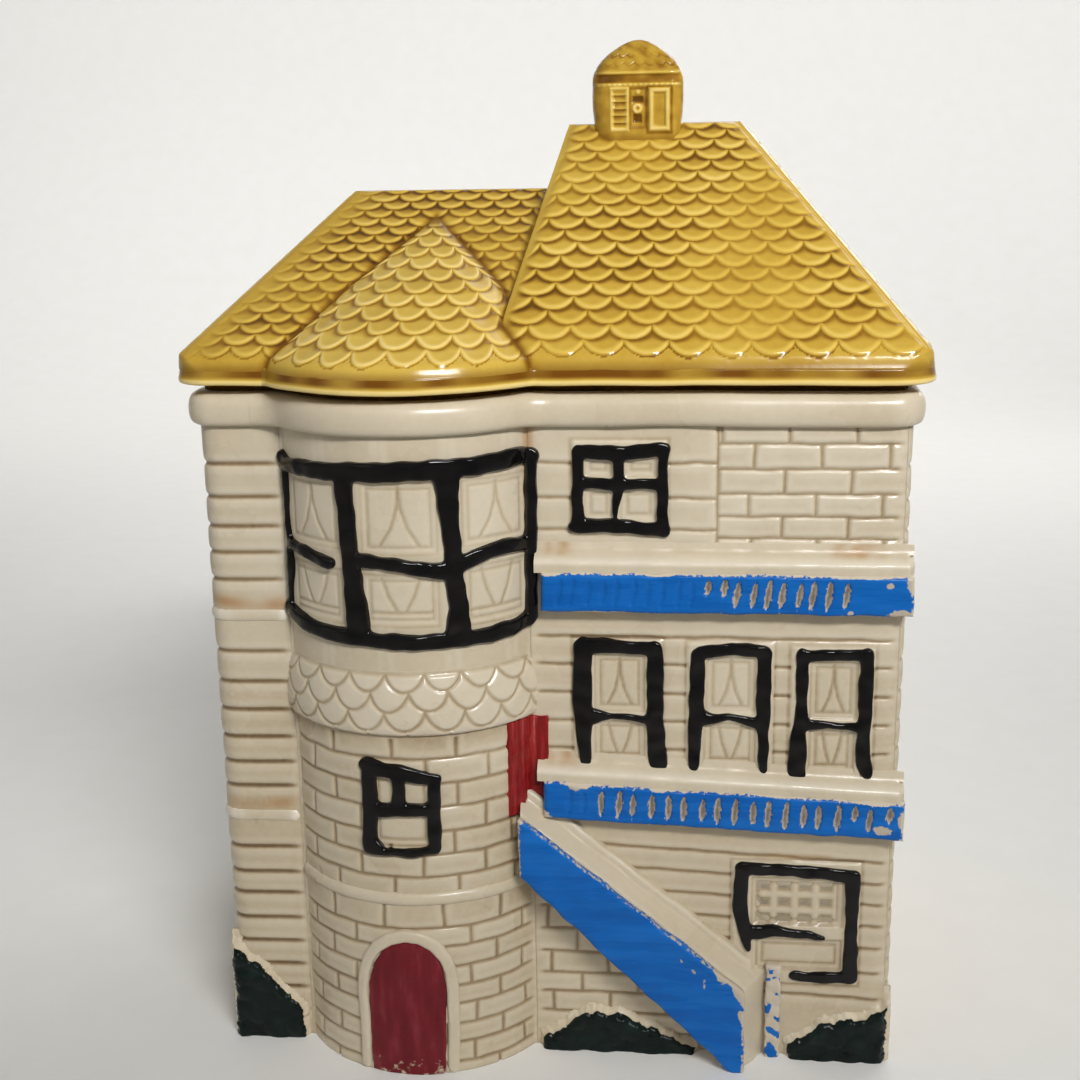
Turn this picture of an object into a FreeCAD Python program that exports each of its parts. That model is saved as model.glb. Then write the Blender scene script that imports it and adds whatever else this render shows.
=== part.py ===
import FreeCAD, Part
import math
import os

# House-shaped lidded jar in glazed earthenware. The jar is a hollow house with a round tower at
# the left of its front, and the lid is its roof. +X is right, -Y is the front and +Z is up; the
# origin is on the table, under the middle of the whole object. Lengths are in millimetres.

os.makedirs("parts", exist_ok=True)
Vec = FreeCAD.Vector
UP = Vec(0, 0, 1)

# Walls and floor
house_width = 190.0  # outside the two end walls
house_depth = 130.0  # front wall to back wall
wall_height = 183.5  # table to the underside of the rim roll
wall = 6.0
floor_thickness = 6.0
corner_radius = 5.0
inside_corner_radius = 1.0  # least corner of an outline moved inwards
overshoot = 1.0  # cutting tools past the faces that they open
flatness = 1e-6  # an edge lower than this counts as level

# Tower and bay, one round drum that stands out of the front wall
tower_inset = 56.0  # drum axis from the left end wall
tower_set_back = 19.8  # drum axis behind the front wall's face
tower_radius = 38.0
crease_radius = 2.0  # where the drum meets the flat wall
slip_line = 0.1  # slip joint under relief that follows the drum

# Rim roll round the mouth
rim_height = 9.0
rim_proud = 4.0
rim_crease_radius = 12.0
rim_round = 3.6

# Lid
shadow_gap = 3.0  # rim top to the underside of the eaves
seat_gap = 0.3  # rim top to the lid's seat
seat_inset = 1.0  # seat's outer edge inside the wall's face
flange_clearance = 1.5  # flange to the mouth, all round
flange_wall = 4.5
flange_depth = 8.0  # below the rim top
eave_proud = 6.0  # eaves beyond the walls
eave_height = 5.0
eave_round = 2.0
eave_crease_radius = 1.0
lid_wall = 6.5
main_ridge_rise = 62.0  # ridges above the top of the eaves
main_ridge_length = 49.0
main_right_run = 50.5  # right eave to the main ridge's end, level
main_left_run = 16.5  # main ridge's left end to the foot of its left slope, level
side_ridge_rise = 43.8
side_left_run = 38.0
bay_peak_drop = 8.0  # bay roof's peak below the side ridge
bay_peak_shift = 2.3  # peak to the right of the drum's axis
bay_roof_bulge = 3.0  # bay roof's swelling half way up
bay_roof_lean = 2.3  # swelling's shift to the right

# Cupola on the main ridge
cupola_inset = 79.5  # axis from the right eave
cupola_front_width = 22.0
cupola_width = 25.6
cupola_depth = 15.0
cupola_side_depth = 6.0
cupola_wall_rise = 10.5  # wall top above the main ridge
cupola_eave_proud = 0.7
cupola_eave_height = 2.5
cupola_roof_rise = 9.5
cupola_tip_share = 0.22  # blunt tip's size against the cupola's eaves

# Relief heights out of the wall
frame_proud = 1.8
frame_bar = 4.6
balcony_proud = 6.0
ledge_proud = 5.0
band_proud = 1.4
skirt_proud = 3.0
shrub_proud = 5.0
stair_proud = 12.0
parapet_thickness = 3.0

# Upper storey of the right wing
upper_ledge_top = 148.5
ledge_height = 4.0
balcony_height = 11.0
balcony_end = 1.6  # balconies past the end wall
balcony_start = 4.5  # balconies from the crease beside the tower
wing_left_margin = 12.5  # crease to the first windows
attic_window_width = 26.0
attic_sill_gap = 5.5
attic_head_gap = 3.5
attic_pane_gap = 2.6

# Middle storey of the right wing
lower_ledge_top = 88.5  # at the tower end
lower_floor_fall = 4.0  # drop along the lower balcony
french_head_gap = 8.5
pier_left = 6.3
pier_right = 3.9
wing_right_margin = 6.9
french_upper_pane = 16.0
french_rail = 3.4

# Balusters
baluster_pitch = 4.1
slot_width = 1.7
slot_depth = 1.2
slot_border = 2.2

# Ground storey of the right wing
garden_window_width = 36.0
garden_window_height = 38.0
garden_right_margin = 8.7
garden_head_gap = 9.0
garden_upper_pane = 16.0

# Stair
stair_start = 2.0  # left end before the crease
stair_top_drop = 12.5  # parapet's top under the lower ledge
stair_foot_height = 25.0
parapet_height = 17.5
stair_foot_length = 4.0
ramp_rise = 6.0  # ramp's back edge above the parapet
ramp_end_slope = 6.0
newel_margin = 30.4  # newel post from the right end wall
newel_width = 4.2
newel_proud = 3.2
newel_height = 29.0

# Bay and tower relief, angles in degrees to the right of straight ahead
bay_head_gap = 5.8  # rim roll to the bay window's head
bay_frame_bar = 4.2
bay_frame_end = 1.0  # angle kept clear of the crease
bay_mullion_left = -17.5
bay_mullion_right = 21.5
bay_mullion_angle = 9.5
bay_stile_angle = 6.0
bay_rail_rise = 21.5  # middle rail above the sill
bay_rail_height = 4.0
skirt_drop = 7.0  # skirt's top under the bay window
skirt_height = 18.0
string_course_height = 52.0
string_course_thickness = 4.5
string_course_proud = 1.8
string_course_round = 1.6
tower_window_width = 22.0
tower_window_shift = -0.7  # sideways from the drum's axis
tower_window_height = 27.5
tower_window_sill_gap = 11.0  # above the string course
tower_window_head_gap = 7.5  # under the skirt
tower_window_bar = 3.6
tower_window_rail = 3.6
tower_window_lower_pane = 10.4
door_width = 22.0
door_height = 42.0
door_shift = -1.3
door_proud = 1.0
arch_band = 3.4
arch_proud = 2.0

# Corner door between tower and right wing
corner_door_angle = 45.0
corner_door_drop = 13.5  # foot under the lower ledge's top

# Moulding bands on the plain walls
band_height = 4.2
upper_band_height = 128.0
lower_band_height = 68.0

# Shrubs at the foot of the front wall
left_shrub_height = 33.0
left_shrub_low = 13.0
middle_shrub_gap = 9.0  # shrub to the stair's foot
middle_shrub_height = 14.5
middle_shrub_low = 5.0
right_shrub_gap = 1.2  # newel post to the shrub
right_shrub_height = 22.0
right_shrub_low = 5.0
shrub_lobe = 7.0  # lobe width along the top
shrub_bulge = 1.6  # lobe height
shrub_end = 0.8  # outer shrubs past the end walls

# Courses of boards and bricks, cut in the walls where the photograph shows a joint
joint_height = 1.2
joint_depth = 0.6
joint_end = 2.5  # joints stop short of windows, creases and corners
board_joints = [
    7.6, 15.1, 22.6, 30.1, 37.6, 45.6, 52.3, 60.2, 79.2, 86.5,
    94.1, 102.3, 110.6, 119.5, 140.2, 147.9, 155.3, 163.5, 172.7,
]
tower_joints = [3.0, 9.1, 15.0, 21.1, 27.0, 33.1, 39.3, 45.1, 60.8, 67.3, 74.2, 81.3, 88.2, 95.4]
attic_board_joints = [155.3, 164.0, 173.5]
attic_brick_joints = [153.3, 159.2, 165.4, 172.0, 178.7]
brick_panel_width = 50.0  # bricked end of the top storey
middle_joints = [92.8, 101.0, 109.2, 117.4, 125.3]
garden_joints = [38.1, 44.9, 51.5, 58.0, 64.5]  # at the tower end; they fall with the floor

# Courses of roof tiles
tile_course = 4.75  # bare length of a tile, up the slope
tile_border = 3.6  # plain border above the eaves, up the slope
tile_lip = 0.9  # a course's lower edge over the course below, square to the slope

# Places worked out from the sizes
half_width = house_width / 2
front_reach = tower_set_back - tower_radius - eave_proud
back_reach = house_depth + eave_proud
wall_front = -(front_reach + back_reach) / 2
wall_back = wall_front + house_depth
middle_y = (wall_front + wall_back) / 2
tower_x = tower_inset - half_width
tower_y = wall_front + tower_set_back
crease_half = math.sqrt(tower_radius**2 - tower_set_back**2)
wing_left = tower_x + crease_half
left_crease = tower_x - crease_half
drum_angle = math.degrees(math.acos((tower_set_back + crease_radius) / (tower_radius + crease_radius)))
rim_top = wall_height + rim_height
eave_bottom = rim_top + shadow_gap
eave_top = eave_bottom + eave_height
eave_half = half_width + eave_proud
eave_front = wall_front - eave_proud
eave_back = wall_back + eave_proud
main_ridge = eave_top + main_ridge_rise
main_ridge_right = eave_half - main_right_run
main_ridge_left = main_ridge_right - main_ridge_length
upper_floor = upper_ledge_top - ledge_height
newel_right = half_width - newel_margin
stair_left = wing_left - stair_start
stair_right = newel_right - newel_width - ramp_end_slope
balcony_left = wing_left + balcony_start
balcony_right = half_width + balcony_end
tower_sill = string_course_height + string_course_thickness + tower_window_sill_gap
tower_head = tower_sill + tower_window_height
skirt_bottom = tower_head + tower_window_head_gap
skirt_top = skirt_bottom + skirt_height
bay_sill = skirt_top + skirt_drop


def corner_arc(start, end, centre, radius):
    middle = (start + end) * 0.5 - centre
    middle.normalize()
    return Part.Arc(start, centre + middle * radius, end).toShape()


def plan_wire(offset, crease):
    """Outline of the house, grown by offset, with a hollow radius where drum and wall meet."""
    left = -half_width - offset
    right = half_width + offset
    front = wall_front - offset
    back = wall_back + offset
    corner = max(corner_radius + offset, inside_corner_radius)
    radius = tower_radius + offset
    axis = Vec(tower_x, tower_y, 0)
    depth = tower_y - front + crease
    reach = math.sqrt((radius + crease) ** 2 - depth**2)
    hollow_left = Vec(tower_x - reach, front - crease, 0)
    hollow_right = Vec(tower_x + reach, front - crease, 0)
    wall_left = Vec(hollow_left.x, front, 0)
    wall_right = Vec(hollow_right.x, front, 0)
    drum_left = axis + (hollow_left - axis) * (radius / (radius + crease))
    drum_right = axis + (hollow_right - axis) * (radius / (radius + crease))
    near_left = left + corner
    near_right = right - corner
    near_front = front + corner
    near_back = back - corner
    corners = [
        (Vec(near_right, front, 0), Vec(right, near_front, 0), Vec(near_right, near_front, 0)),
        (Vec(right, near_back, 0), Vec(near_right, back, 0), Vec(near_right, near_back, 0)),
        (Vec(near_left, back, 0), Vec(left, near_back, 0), Vec(near_left, near_back, 0)),
        (Vec(left, near_front, 0), Vec(near_left, front, 0), Vec(near_left, near_front, 0)),
    ]
    edges = [
        corner_arc(wall_left, drum_left, hollow_left, crease),
        Part.Arc(drum_left, axis - Vec(0, radius, 0), drum_right).toShape(),
        corner_arc(drum_right, wall_right, hollow_right, crease),
    ]
    last = wall_right
    for start, end, centre in corners:
        edges.append(Part.LineSegment(last, start).toShape())
        edges.append(corner_arc(start, end, centre, corner))
        last = end
    edges.append(Part.LineSegment(last, wall_left).toShape())
    return Part.Wire(edges)


def plan_prism(offset, crease, bottom, top):
    face = Part.Face(plan_wire(offset, crease))
    face.translate(Vec(0, 0, bottom))
    return face.extrude(UP * (top - bottom))


def box(x0, x1, y0, y1, z0, z1):
    return Part.makeBox(x1 - x0, y1 - y0, z1 - z0, Vec(x0, y0, z0))


def wall_plate(points, near, far):
    """Plate with an outline in X and Z, from near to far in front of the front wall's face."""
    corners = [Vec(x, wall_front - near, z) for x, z in points]
    face = Part.Face(Part.makePolygon(corners + corners[:1]))
    return face.extrude(Vec(0, near - far, 0))


def wall_box(x0, x1, z0, z1, far):
    return wall_plate([(x0, z0), (x1, z0), (x1, z1), (x0, z1)], 0, far)


def drum_point(radius, angle, z):
    turn = math.radians(angle)
    return Vec(tower_x + radius * math.sin(turn), tower_y - radius * math.cos(turn), z)


def drum_sector(inner, outer, start, end, bottom, top):
    """Piece of a ring about the drum's axis between two angles."""
    corners = [
        drum_point(inner, start, bottom),
        drum_point(outer, start, bottom),
        drum_point(outer, start, top),
        drum_point(inner, start, top),
    ]
    face = Part.Face(Part.makePolygon(corners + corners[:1]))
    return face.revolve(Vec(tower_x, tower_y, 0), UP, end - start)


def drum_ring(proud, bottom, top, rounding=0.0):
    """Band round the drum that runs into the front wall on both sides."""
    ring = Part.makeCylinder(tower_radius + proud, top - bottom, Vec(tower_x, tower_y, bottom))
    if rounding > 0:
        rims = [edge for edge in ring.Edges if isinstance(edge.Curve, Part.Circle)]
        ring = ring.makeFillet(rounding, rims)
    return ring.cut(plan_prism(slip_line, crease_radius, bottom - overshoot, top + overshoot))


def pane_grid(x0, x1, z0, z1, columns, rows, bar):
    width = (x1 - x0 - bar * (columns - 1)) / columns
    height = (z1 - z0 - bar * (rows - 1)) / rows
    panes = []
    for column in range(columns):
        for row in range(rows):
            left = x0 + column * (width + bar)
            low = z0 + row * (height + bar)
            panes.append((left, left + width, low, low + height))
    return panes


def pierced_frame(x0, x1, z0, z1, panes):
    frame = wall_box(x0, x1, z0, z1, frame_proud)
    for left, right, low, high in panes:
        frame = frame.cut(wall_box(left, right, low, high, frame_proud))
    return frame


def faceted(rings):
    """Solid with flat faces, each given by its corners in order seen from outside."""
    faces = [Part.Face(Part.makePolygon(ring + ring[:1])) for ring in rings]
    return Part.Solid(Part.makeShell(faces))


def hip_block(x0, x1, y0, y1, base, ridge_left, ridge_right, ridge, levels):
    """Hipped roof over a rectangle, its ridge along X over the middle, with a lip at each level."""
    middle = (y0 + y1) / 2
    rise = ridge - base
    slopes = [
        math.atan2(rise, ridge_left - x0), math.atan2(rise, x1 - ridge_right),
        math.atan2(rise, middle - y0),
    ]

    def ring(z, lip):
        share = (z - base) / rise
        over_left, over_right, over_front = [lip / math.sin(slope) for slope in slopes]
        left = x0 + (ridge_left - x0) * share - over_left
        right = x1 + (ridge_right - x1) * share + over_right
        near = y0 + (middle - y0) * share - over_front
        far = 2 * middle - near
        return [Vec(left, near, z), Vec(right, near, z), Vec(right, far, z), Vec(left, far, z)]

    rings = [ring(base, 0)]
    for z in levels:
        rings += [ring(z, 0), ring(z, tile_lip)]
    faces = [rings[0][::-1]]
    for lower, upper in zip(rings, rings[1:]):
        for index in range(4):
            after = (index + 1) % 4
            faces.append([lower[index], lower[after], upper[after], upper[index]])
    front_left, front_right, back_right, back_left = rings[-1]
    top_left = Vec(ridge_left, middle, ridge)
    top_right = Vec(ridge_right, middle, ridge)
    faces += [
        [front_left, front_right, top_right, top_left],
        [front_right, back_right, top_right],
        [back_right, back_left, top_left, top_right],
        [back_left, front_left, top_left],
    ]
    return faceted(faces)


def course_levels(rise, slope):
    """Heights of the lower edges of the courses on a slope that climbs by rise."""
    pitch = tile_course * math.sin(slope)
    first = tile_border * math.sin(slope)
    count = max(int((rise - first) / pitch), 0)
    return [eave_top + first + index * pitch for index in range(count)]


def bay_stack(rings, levels, lip):
    """Cone through rings of centre and radius, in courses with a lip at each level."""

    def section(z, grow):
        for (low, low_radius), (high, high_radius) in zip(rings, rings[1:]):
            if z <= high.z:
                break
        share = (z - low.z) / (high.z - low.z)
        centre = low + (high - low) * share
        return Part.Wire([Part.makeCircle(low_radius + (high_radius - low_radius) * share + grow, centre)])

    peak = rings[-1][0]
    bounds = [rings[0][0].z] + levels
    courses = []
    for index, low in enumerate(bounds):
        foot = section(low, lip if index > 0 else 0)
        if index + 1 < len(bounds):
            head = section(bounds[index + 1], 0)
        else:
            head = Part.Vertex(peak)
        courses.append(Part.makeLoft([foot, head], True, True))
    return courses[0].multiFuse(courses[1:])


def roof_blocks(inset, coursed):
    """The roof's three volumes, all slopes moved in by inset, measured square to the slope."""
    front_run = (eave_back - eave_front) / 2
    main_slope = math.atan2(main_ridge_rise, front_run)
    side_slope = math.atan2(side_ridge_rise, front_run)
    right_slope = math.atan2(main_ridge_rise, main_right_run)
    inner_left_slope = math.atan2(main_ridge_rise, main_left_run)
    left_slope = math.atan2(side_ridge_rise, side_left_run)
    main_drop = inset / math.cos(main_slope)
    side_drop = inset / math.cos(side_slope)
    main_top = main_ridge_rise - main_drop
    side_top = side_ridge_rise - side_drop
    right_foot = eave_half - inset / math.sin(right_slope)
    inner_foot = main_ridge_left - main_left_run + inset / math.sin(inner_left_slope)
    left_foot = -eave_half + inset / math.sin(left_slope)
    main_front = eave_front + inset / math.sin(main_slope)
    side_front = eave_front + inset / math.sin(side_slope)
    main_back = 2 * middle_y - main_front
    side_back = 2 * middle_y - side_front
    main_start = inner_foot + main_top / math.tan(inner_left_slope)
    main_end = right_foot - main_top / math.tan(right_slope)
    side_start = left_foot + side_top / math.tan(left_slope)
    side_foot = main_ridge_left + side_top / math.tan(left_slope)
    main = hip_block(
        inner_foot, right_foot, main_front, main_back, eave_top, main_start, main_end,
        eave_top + main_top, course_levels(main_top, main_slope) if coursed else [])
    side = hip_block(
        left_foot, side_foot, side_front, side_back, eave_top, side_start, main_ridge_left,
        eave_top + side_top, course_levels(side_top, side_slope) if coursed else [])
    peak_rise = side_ridge_rise - bay_peak_drop
    peak_y = eave_front + peak_rise / math.tan(side_slope)
    peak = Vec(tower_x + bay_peak_shift, peak_y, eave_top + peak_rise - side_drop)
    foot = Vec(tower_x, tower_y, eave_top)
    foot_radius = tower_radius + eave_proud - inset / math.sin(side_slope)
    swell = (foot + peak) * 0.5 + Vec(bay_roof_lean, 0, 0)
    swell_radius = foot_radius / 2 + bay_roof_bulge
    if coursed:
        bay_slope = math.atan2(peak.z - foot.z, peak.y - foot.y + foot_radius)
        rings = [(foot, foot_radius), (swell, swell_radius), (peak, 0)]
        levels = course_levels(peak.z - foot.z, bay_slope)
        return main, side, bay_stack(rings, levels, tile_lip / math.sin(side_slope))
    rings = [
        Part.Wire([Part.makeCircle(foot_radius, foot)]),
        Part.Wire([Part.makeCircle(swell_radius, swell)]),
        Part.Vertex(peak),
    ]
    return main, side, Part.makeLoft(rings, True, True)


def fused(shapes):
    whole = shapes[0]
    for shape in shapes[1:]:
        whole = whole.fuse(shape)
    return whole.removeSplitter()


def jar_shell():
    outside = plan_prism(0, crease_radius, 0, rim_top)
    inside = plan_prism(-wall, crease_radius + wall, floor_thickness, rim_top + overshoot)
    joints = board_cuts() + tower_cuts() + wing_cuts()
    return outside.cut(inside).cut(Part.makeCompound(joints))


def attic_span():
    left = wing_left + wing_left_margin
    return left, left + attic_window_width


def french_spans():
    start = wing_left + wing_left_margin
    end = half_width - wing_right_margin
    width = (end - start - pier_left - pier_right) / 3
    lefts = [start, start + width + pier_left, end - width]
    return [(left, left + width) for left in lefts]


def garden_span():
    right = half_width - garden_right_margin
    return right - garden_window_width, right


def clear_spans(start, end, blocks):
    """What is left between start and end beside the blocks, less the ends kept clear."""
    spans = []
    for left, right in blocks:
        spans.append((start, left - joint_end))
        start = right + joint_end
    spans.append((start, end))
    return [(left, right) for left, right in spans if right - left > joint_end]


def plain_ends(shape, low, high):
    """The part of a ring round the house on its ends, its back and the wall left of the tower."""
    clear = corner_radius + balcony_proud
    right_front = box(
        left_crease - crease_radius, eave_half, eave_front - tower_radius, wall_front + clear, low, high)
    return shape.cut(right_front)


def board_cuts():
    cuts = []
    for level in board_joints:
        low = level - joint_height / 2
        high = level + joint_height / 2
        ring = plan_prism(overshoot, crease_radius, low, high)
        core = plan_prism(-joint_depth, crease_radius + joint_depth, low - overshoot, high + overshoot)
        cuts.append(plain_ends(ring.cut(core), low - overshoot, high + overshoot))
    return cuts


def tower_cuts():
    edge = math.radians(drum_angle) * tower_radius - joint_end
    window_half = tower_window_width / 2
    door_half = door_width / 2 + arch_band
    window = [math.asin((tower_window_shift + side) / tower_radius) * tower_radius
              for side in (-window_half, window_half)]
    door = [math.asin((door_shift + side) / tower_radius) * tower_radius for side in (-door_half, door_half)]
    cuts = []
    for level in tower_joints:
        blocks = []
        if tower_sill - joint_height < level < tower_head + joint_height:
            blocks = [window]
        if level < door_height + arch_band + joint_height:
            blocks = [door]
        for start, end in clear_spans(-edge, edge, blocks):
            cuts.append(drum_sector(
                tower_radius - joint_depth, tower_radius + overshoot,
                math.degrees(start / tower_radius), math.degrees(end / tower_radius),
                level - joint_height / 2, level + joint_height / 2))
    return cuts


def wing_joint(level, fall, spans):
    half = joint_height / 2
    cuts = []
    for left, right in spans:
        low_left = balcony_line(left, level, fall)
        low_right = balcony_line(right, level, fall)
        points = [
            (left, low_left - half), (right, low_right - half),
            (right, low_right + half), (left, low_left + half),
        ]
        cuts.append(wall_plate(points, -joint_depth, overshoot))
    return cuts


def wing_cuts():
    start = wing_left + crease_radius + joint_end
    end = half_width - corner_radius
    panel = half_width - brick_panel_width
    stair_top = lower_ledge_top - stair_top_drop
    steepness = (stair_top - stair_foot_height) / (stair_right - stair_left)
    cuts = []
    for level in attic_board_joints:
        cuts += wing_joint(level, 0, clear_spans(start, panel, [attic_span()]))
    for level in attic_brick_joints:
        cuts += wing_joint(level, 0, [(panel, end)])
    for level in middle_joints:
        cuts += wing_joint(level, 0, clear_spans(start, end, french_spans()))
    for level in garden_joints:
        ramp_end = stair_left + (stair_top + ramp_rise - level) / steepness
        cuts += wing_joint(level, lower_floor_fall, clear_spans(ramp_end + joint_end, end, [garden_span()]))
    return cuts


def rim_roll():
    ring = plan_prism(rim_proud, rim_crease_radius, wall_height, rim_top)
    flat = [edge for edge in ring.Edges if edge.BoundBox.ZLength < flatness]
    ring = ring.makeFillet(rim_round, flat)
    return ring.cut(plan_prism(0, crease_radius, wall_height - overshoot, rim_top + overshoot))


def roof_lid():
    lip = plan_prism(eave_proud, eave_crease_radius, eave_bottom, eave_top)
    lower = [edge for edge in lip.Edges if edge.BoundBox.ZMax < eave_bottom + flatness]
    lip = lip.makeFillet(eave_round, lower)
    limit = plan_prism(eave_proud, eave_crease_radius, eave_top, main_ridge + overshoot)
    upper = fused([block.common(limit) for block in roof_blocks(0, True)])
    seat_bottom = rim_top + seat_gap
    flange_outside = -(wall + flange_clearance)
    flange_inside = flange_outside - flange_wall
    seat = plan_prism(-seat_inset, crease_radius + seat_inset, seat_bottom, eave_bottom)
    flange_bottom = rim_top - flange_depth
    flange = plan_prism(flange_outside, crease_radius - flange_outside, flange_bottom, seat_bottom)
    whole = fused([lip, upper, seat, flange])
    inside_crease = crease_radius - flange_inside
    throat = plan_prism(flange_inside, inside_crease, flange_bottom - overshoot, eave_top)
    mouth = plan_prism(flange_inside, inside_crease, eave_top, main_ridge)
    hollow = fused([throat] + [block.common(mouth) for block in roof_blocks(lid_wall, False)])
    return whole.cut(hollow)


def octagon(grow, z, scale=1.0):
    wide = (cupola_width / 2 + grow) * scale
    front = (cupola_front_width / 2 + grow / 2) * scale
    deep = (cupola_depth / 2 + grow) * scale
    side = (cupola_side_depth / 2 + grow / 2) * scale
    x = eave_half - cupola_inset
    ring = [(front, -deep), (wide, -side), (wide, side), (front, deep)]
    ring += [(-px, -py) for px, py in ring]
    points = [Vec(x + px, middle_y + py, z) for px, py in ring]
    return Part.makePolygon(points + points[:1])


def cupola_walls(lid):
    foot = main_ridge - cupola_depth
    top = main_ridge + cupola_wall_rise
    prism = Part.Face(octagon(0, foot)).extrude(UP * (top - foot))
    standing = prism.cut(lid)
    return max(standing.Solids, key=lambda solid: solid.BoundBox.ZMax)


def cupola_roof():
    base = main_ridge + cupola_wall_rise
    eave = Part.Face(octagon(cupola_eave_proud, base)).extrude(UP * cupola_eave_height)
    top = base + cupola_eave_height
    foot = octagon(cupola_eave_proud, top)
    tip = octagon(cupola_eave_proud, top + cupola_roof_rise, cupola_tip_share)
    cap = Part.makeLoft([foot, tip], True, True)
    return eave.fuse(cap).removeSplitter()


def seated(block):
    """What is left of a block outside the house's walls."""
    return block.cut(plan_prism(0, crease_radius, -overshoot, rim_top))


def balcony_line(x, level, fall):
    return level - fall * (x - balcony_left) / (balcony_right - balcony_left)


def wall_strip(top, bottom, fall, proud):
    """Strip along the right wing that wraps the end wall's corner."""
    points = [
        (balcony_left, bottom), (balcony_right, bottom - fall),
        (balcony_right, top - fall), (balcony_left, top),
    ]
    return seated(wall_plate(points, -corner_radius, proud))


def balcony(top, fall):
    rail = wall_strip(top, top - balcony_height, fall, balcony_proud)
    first = balcony_left + wing_left_margin
    count = int((half_width - first) / baluster_pitch)
    for index in range(count):
        x = first + index * baluster_pitch
        high = balcony_line(x, top, fall) - slot_border
        low = high - balcony_height + 2 * slot_border
        slot = [(x, low), (x + slot_width, low), (x + slot_width, high), (x, high)]
        rail = rail.cut(wall_plate(slot, balcony_proud - slot_depth, balcony_proud))
    return rail


def ledge(top, fall):
    return wall_strip(top, top - ledge_height, fall, ledge_proud)


def attic_window():
    left, right = attic_span()
    low = upper_ledge_top + attic_sill_gap
    high = wall_height - attic_head_gap
    panes = pane_grid(
        left + frame_bar, right - frame_bar, low + frame_bar, high - frame_bar, 2, 2, attic_pane_gap)
    return pierced_frame(left, right, low, high, panes)


def french_windows():
    top = upper_floor - balcony_height - french_head_gap
    bottom = lower_ledge_top - lower_floor_fall - ledge_height
    pane_top = top - frame_bar
    rail_top = pane_top - french_upper_pane
    rail_bottom = rail_top - french_rail
    ledge_end = lower_ledge_top - lower_floor_fall
    under_ledge = [
        (balcony_left, 0), (balcony_right, 0),
        (balcony_right, ledge_end), (balcony_left, lower_ledge_top),
    ]
    below = wall_plate(under_ledge, 0, frame_proud)
    frames = []
    for left, right in french_spans():
        upper = (left + frame_bar, right - frame_bar, rail_top, pane_top)
        lower = (left + frame_bar, right - frame_bar, bottom, rail_bottom)
        frames.append(pierced_frame(left, right, bottom, top, [upper, lower]).cut(below))
    return frames


def stair_parapet_points():
    top = lower_ledge_top - stair_top_drop
    return [
        (stair_left, top), (stair_left, top - parapet_height), (stair_right - stair_foot_length, 0),
        (stair_right, 0), (stair_right, stair_foot_height),
    ]


def stair_parapet():
    return wall_plate(stair_parapet_points(), stair_proud - parapet_thickness, stair_proud)


def stair_ramp(neighbours):
    outline = stair_parapet_points()
    (left, top), low, foot, (right, ground), (right, end) = outline
    steepness = (top - end) / (right - left)
    far_end = end + ramp_rise - steepness * ramp_end_slope
    far_right = right + ramp_end_slope
    far_outline = [(left, top + ramp_rise), low, foot, (far_right, ground), (far_right, far_end)]
    near_y = wall_front - stair_proud + parapet_thickness
    near = [Vec(x, near_y, z) for x, z in outline]
    far = [Vec(x, wall_front, z) for x, z in far_outline]
    rings = [near, far[::-1]]
    for index in range(len(near)):
        after = (index + 1) % len(near)
        rings.append([near[after], near[index], far[index], far[after]])
    ramp = seated(faceted(rings))
    for neighbour in neighbours:
        ramp = ramp.cut(neighbour)
    return ramp


def newel_post():
    return wall_box(newel_right - newel_width, newel_right, 0, newel_height, newel_proud)


def garden_window(neighbours):
    left, right = garden_span()
    head = lower_ledge_top - lower_floor_fall - ledge_height - balcony_height - garden_head_gap
    sill = head - garden_window_height
    rail_top = head - frame_bar - garden_upper_pane
    panes = [
        (left + frame_bar, right - frame_bar, rail_top, head - frame_bar),
        (left + frame_bar, right - frame_bar, sill + frame_bar, rail_top - french_rail),
    ]
    frame = pierced_frame(left, right, sill, head, panes)
    frame = frame.cut(wall_box(left + frame_bar, newel_right, sill, sill + frame_bar, frame_proud))
    for neighbour in neighbours:
        frame = frame.cut(neighbour)
    return frame


def bay_window():
    inner = tower_radius + slip_line
    outer = tower_radius + frame_proud
    edge = drum_angle - bay_frame_end
    low = bay_sill
    high = wall_height - bay_head_gap
    frame = drum_sector(inner, outer, -edge, edge, low, high)
    half = bay_mullion_angle / 2
    columns = [
        (-edge + bay_stile_angle, bay_mullion_left - half),
        (bay_mullion_left + half, bay_mullion_right - half),
        (bay_mullion_right + half, edge - bay_stile_angle),
    ]
    rail = low + bay_rail_rise
    rows = [(low + bay_frame_bar, rail), (rail + bay_rail_height, high - bay_frame_bar)]
    for start, end in columns:
        for bottom, top in rows:
            pane = drum_sector(inner - overshoot, outer + overshoot, start, end, bottom, top)
            frame = frame.cut(pane)
    return frame


def drum_relief(outline, proud):
    """Outline in X and Z, wrapped onto the front of the drum."""
    points = [Vec(x, tower_y, z) for x, z in outline]
    face = Part.Face(Part.makePolygon(points + points[:1]))
    return drum_wrap(face, proud)


def drum_wrap(face, proud):
    block = face.extrude(Vec(0, -tower_radius - proud - overshoot, 0))
    low = block.BoundBox.ZMin
    height = block.BoundBox.ZLength
    axis = Vec(tower_x, tower_y, low)
    skin = Part.makeCylinder(tower_radius + proud, height, axis)
    core = Part.makeCylinder(tower_radius + slip_line, height, axis)
    return block.common(skin.cut(core))


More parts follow.
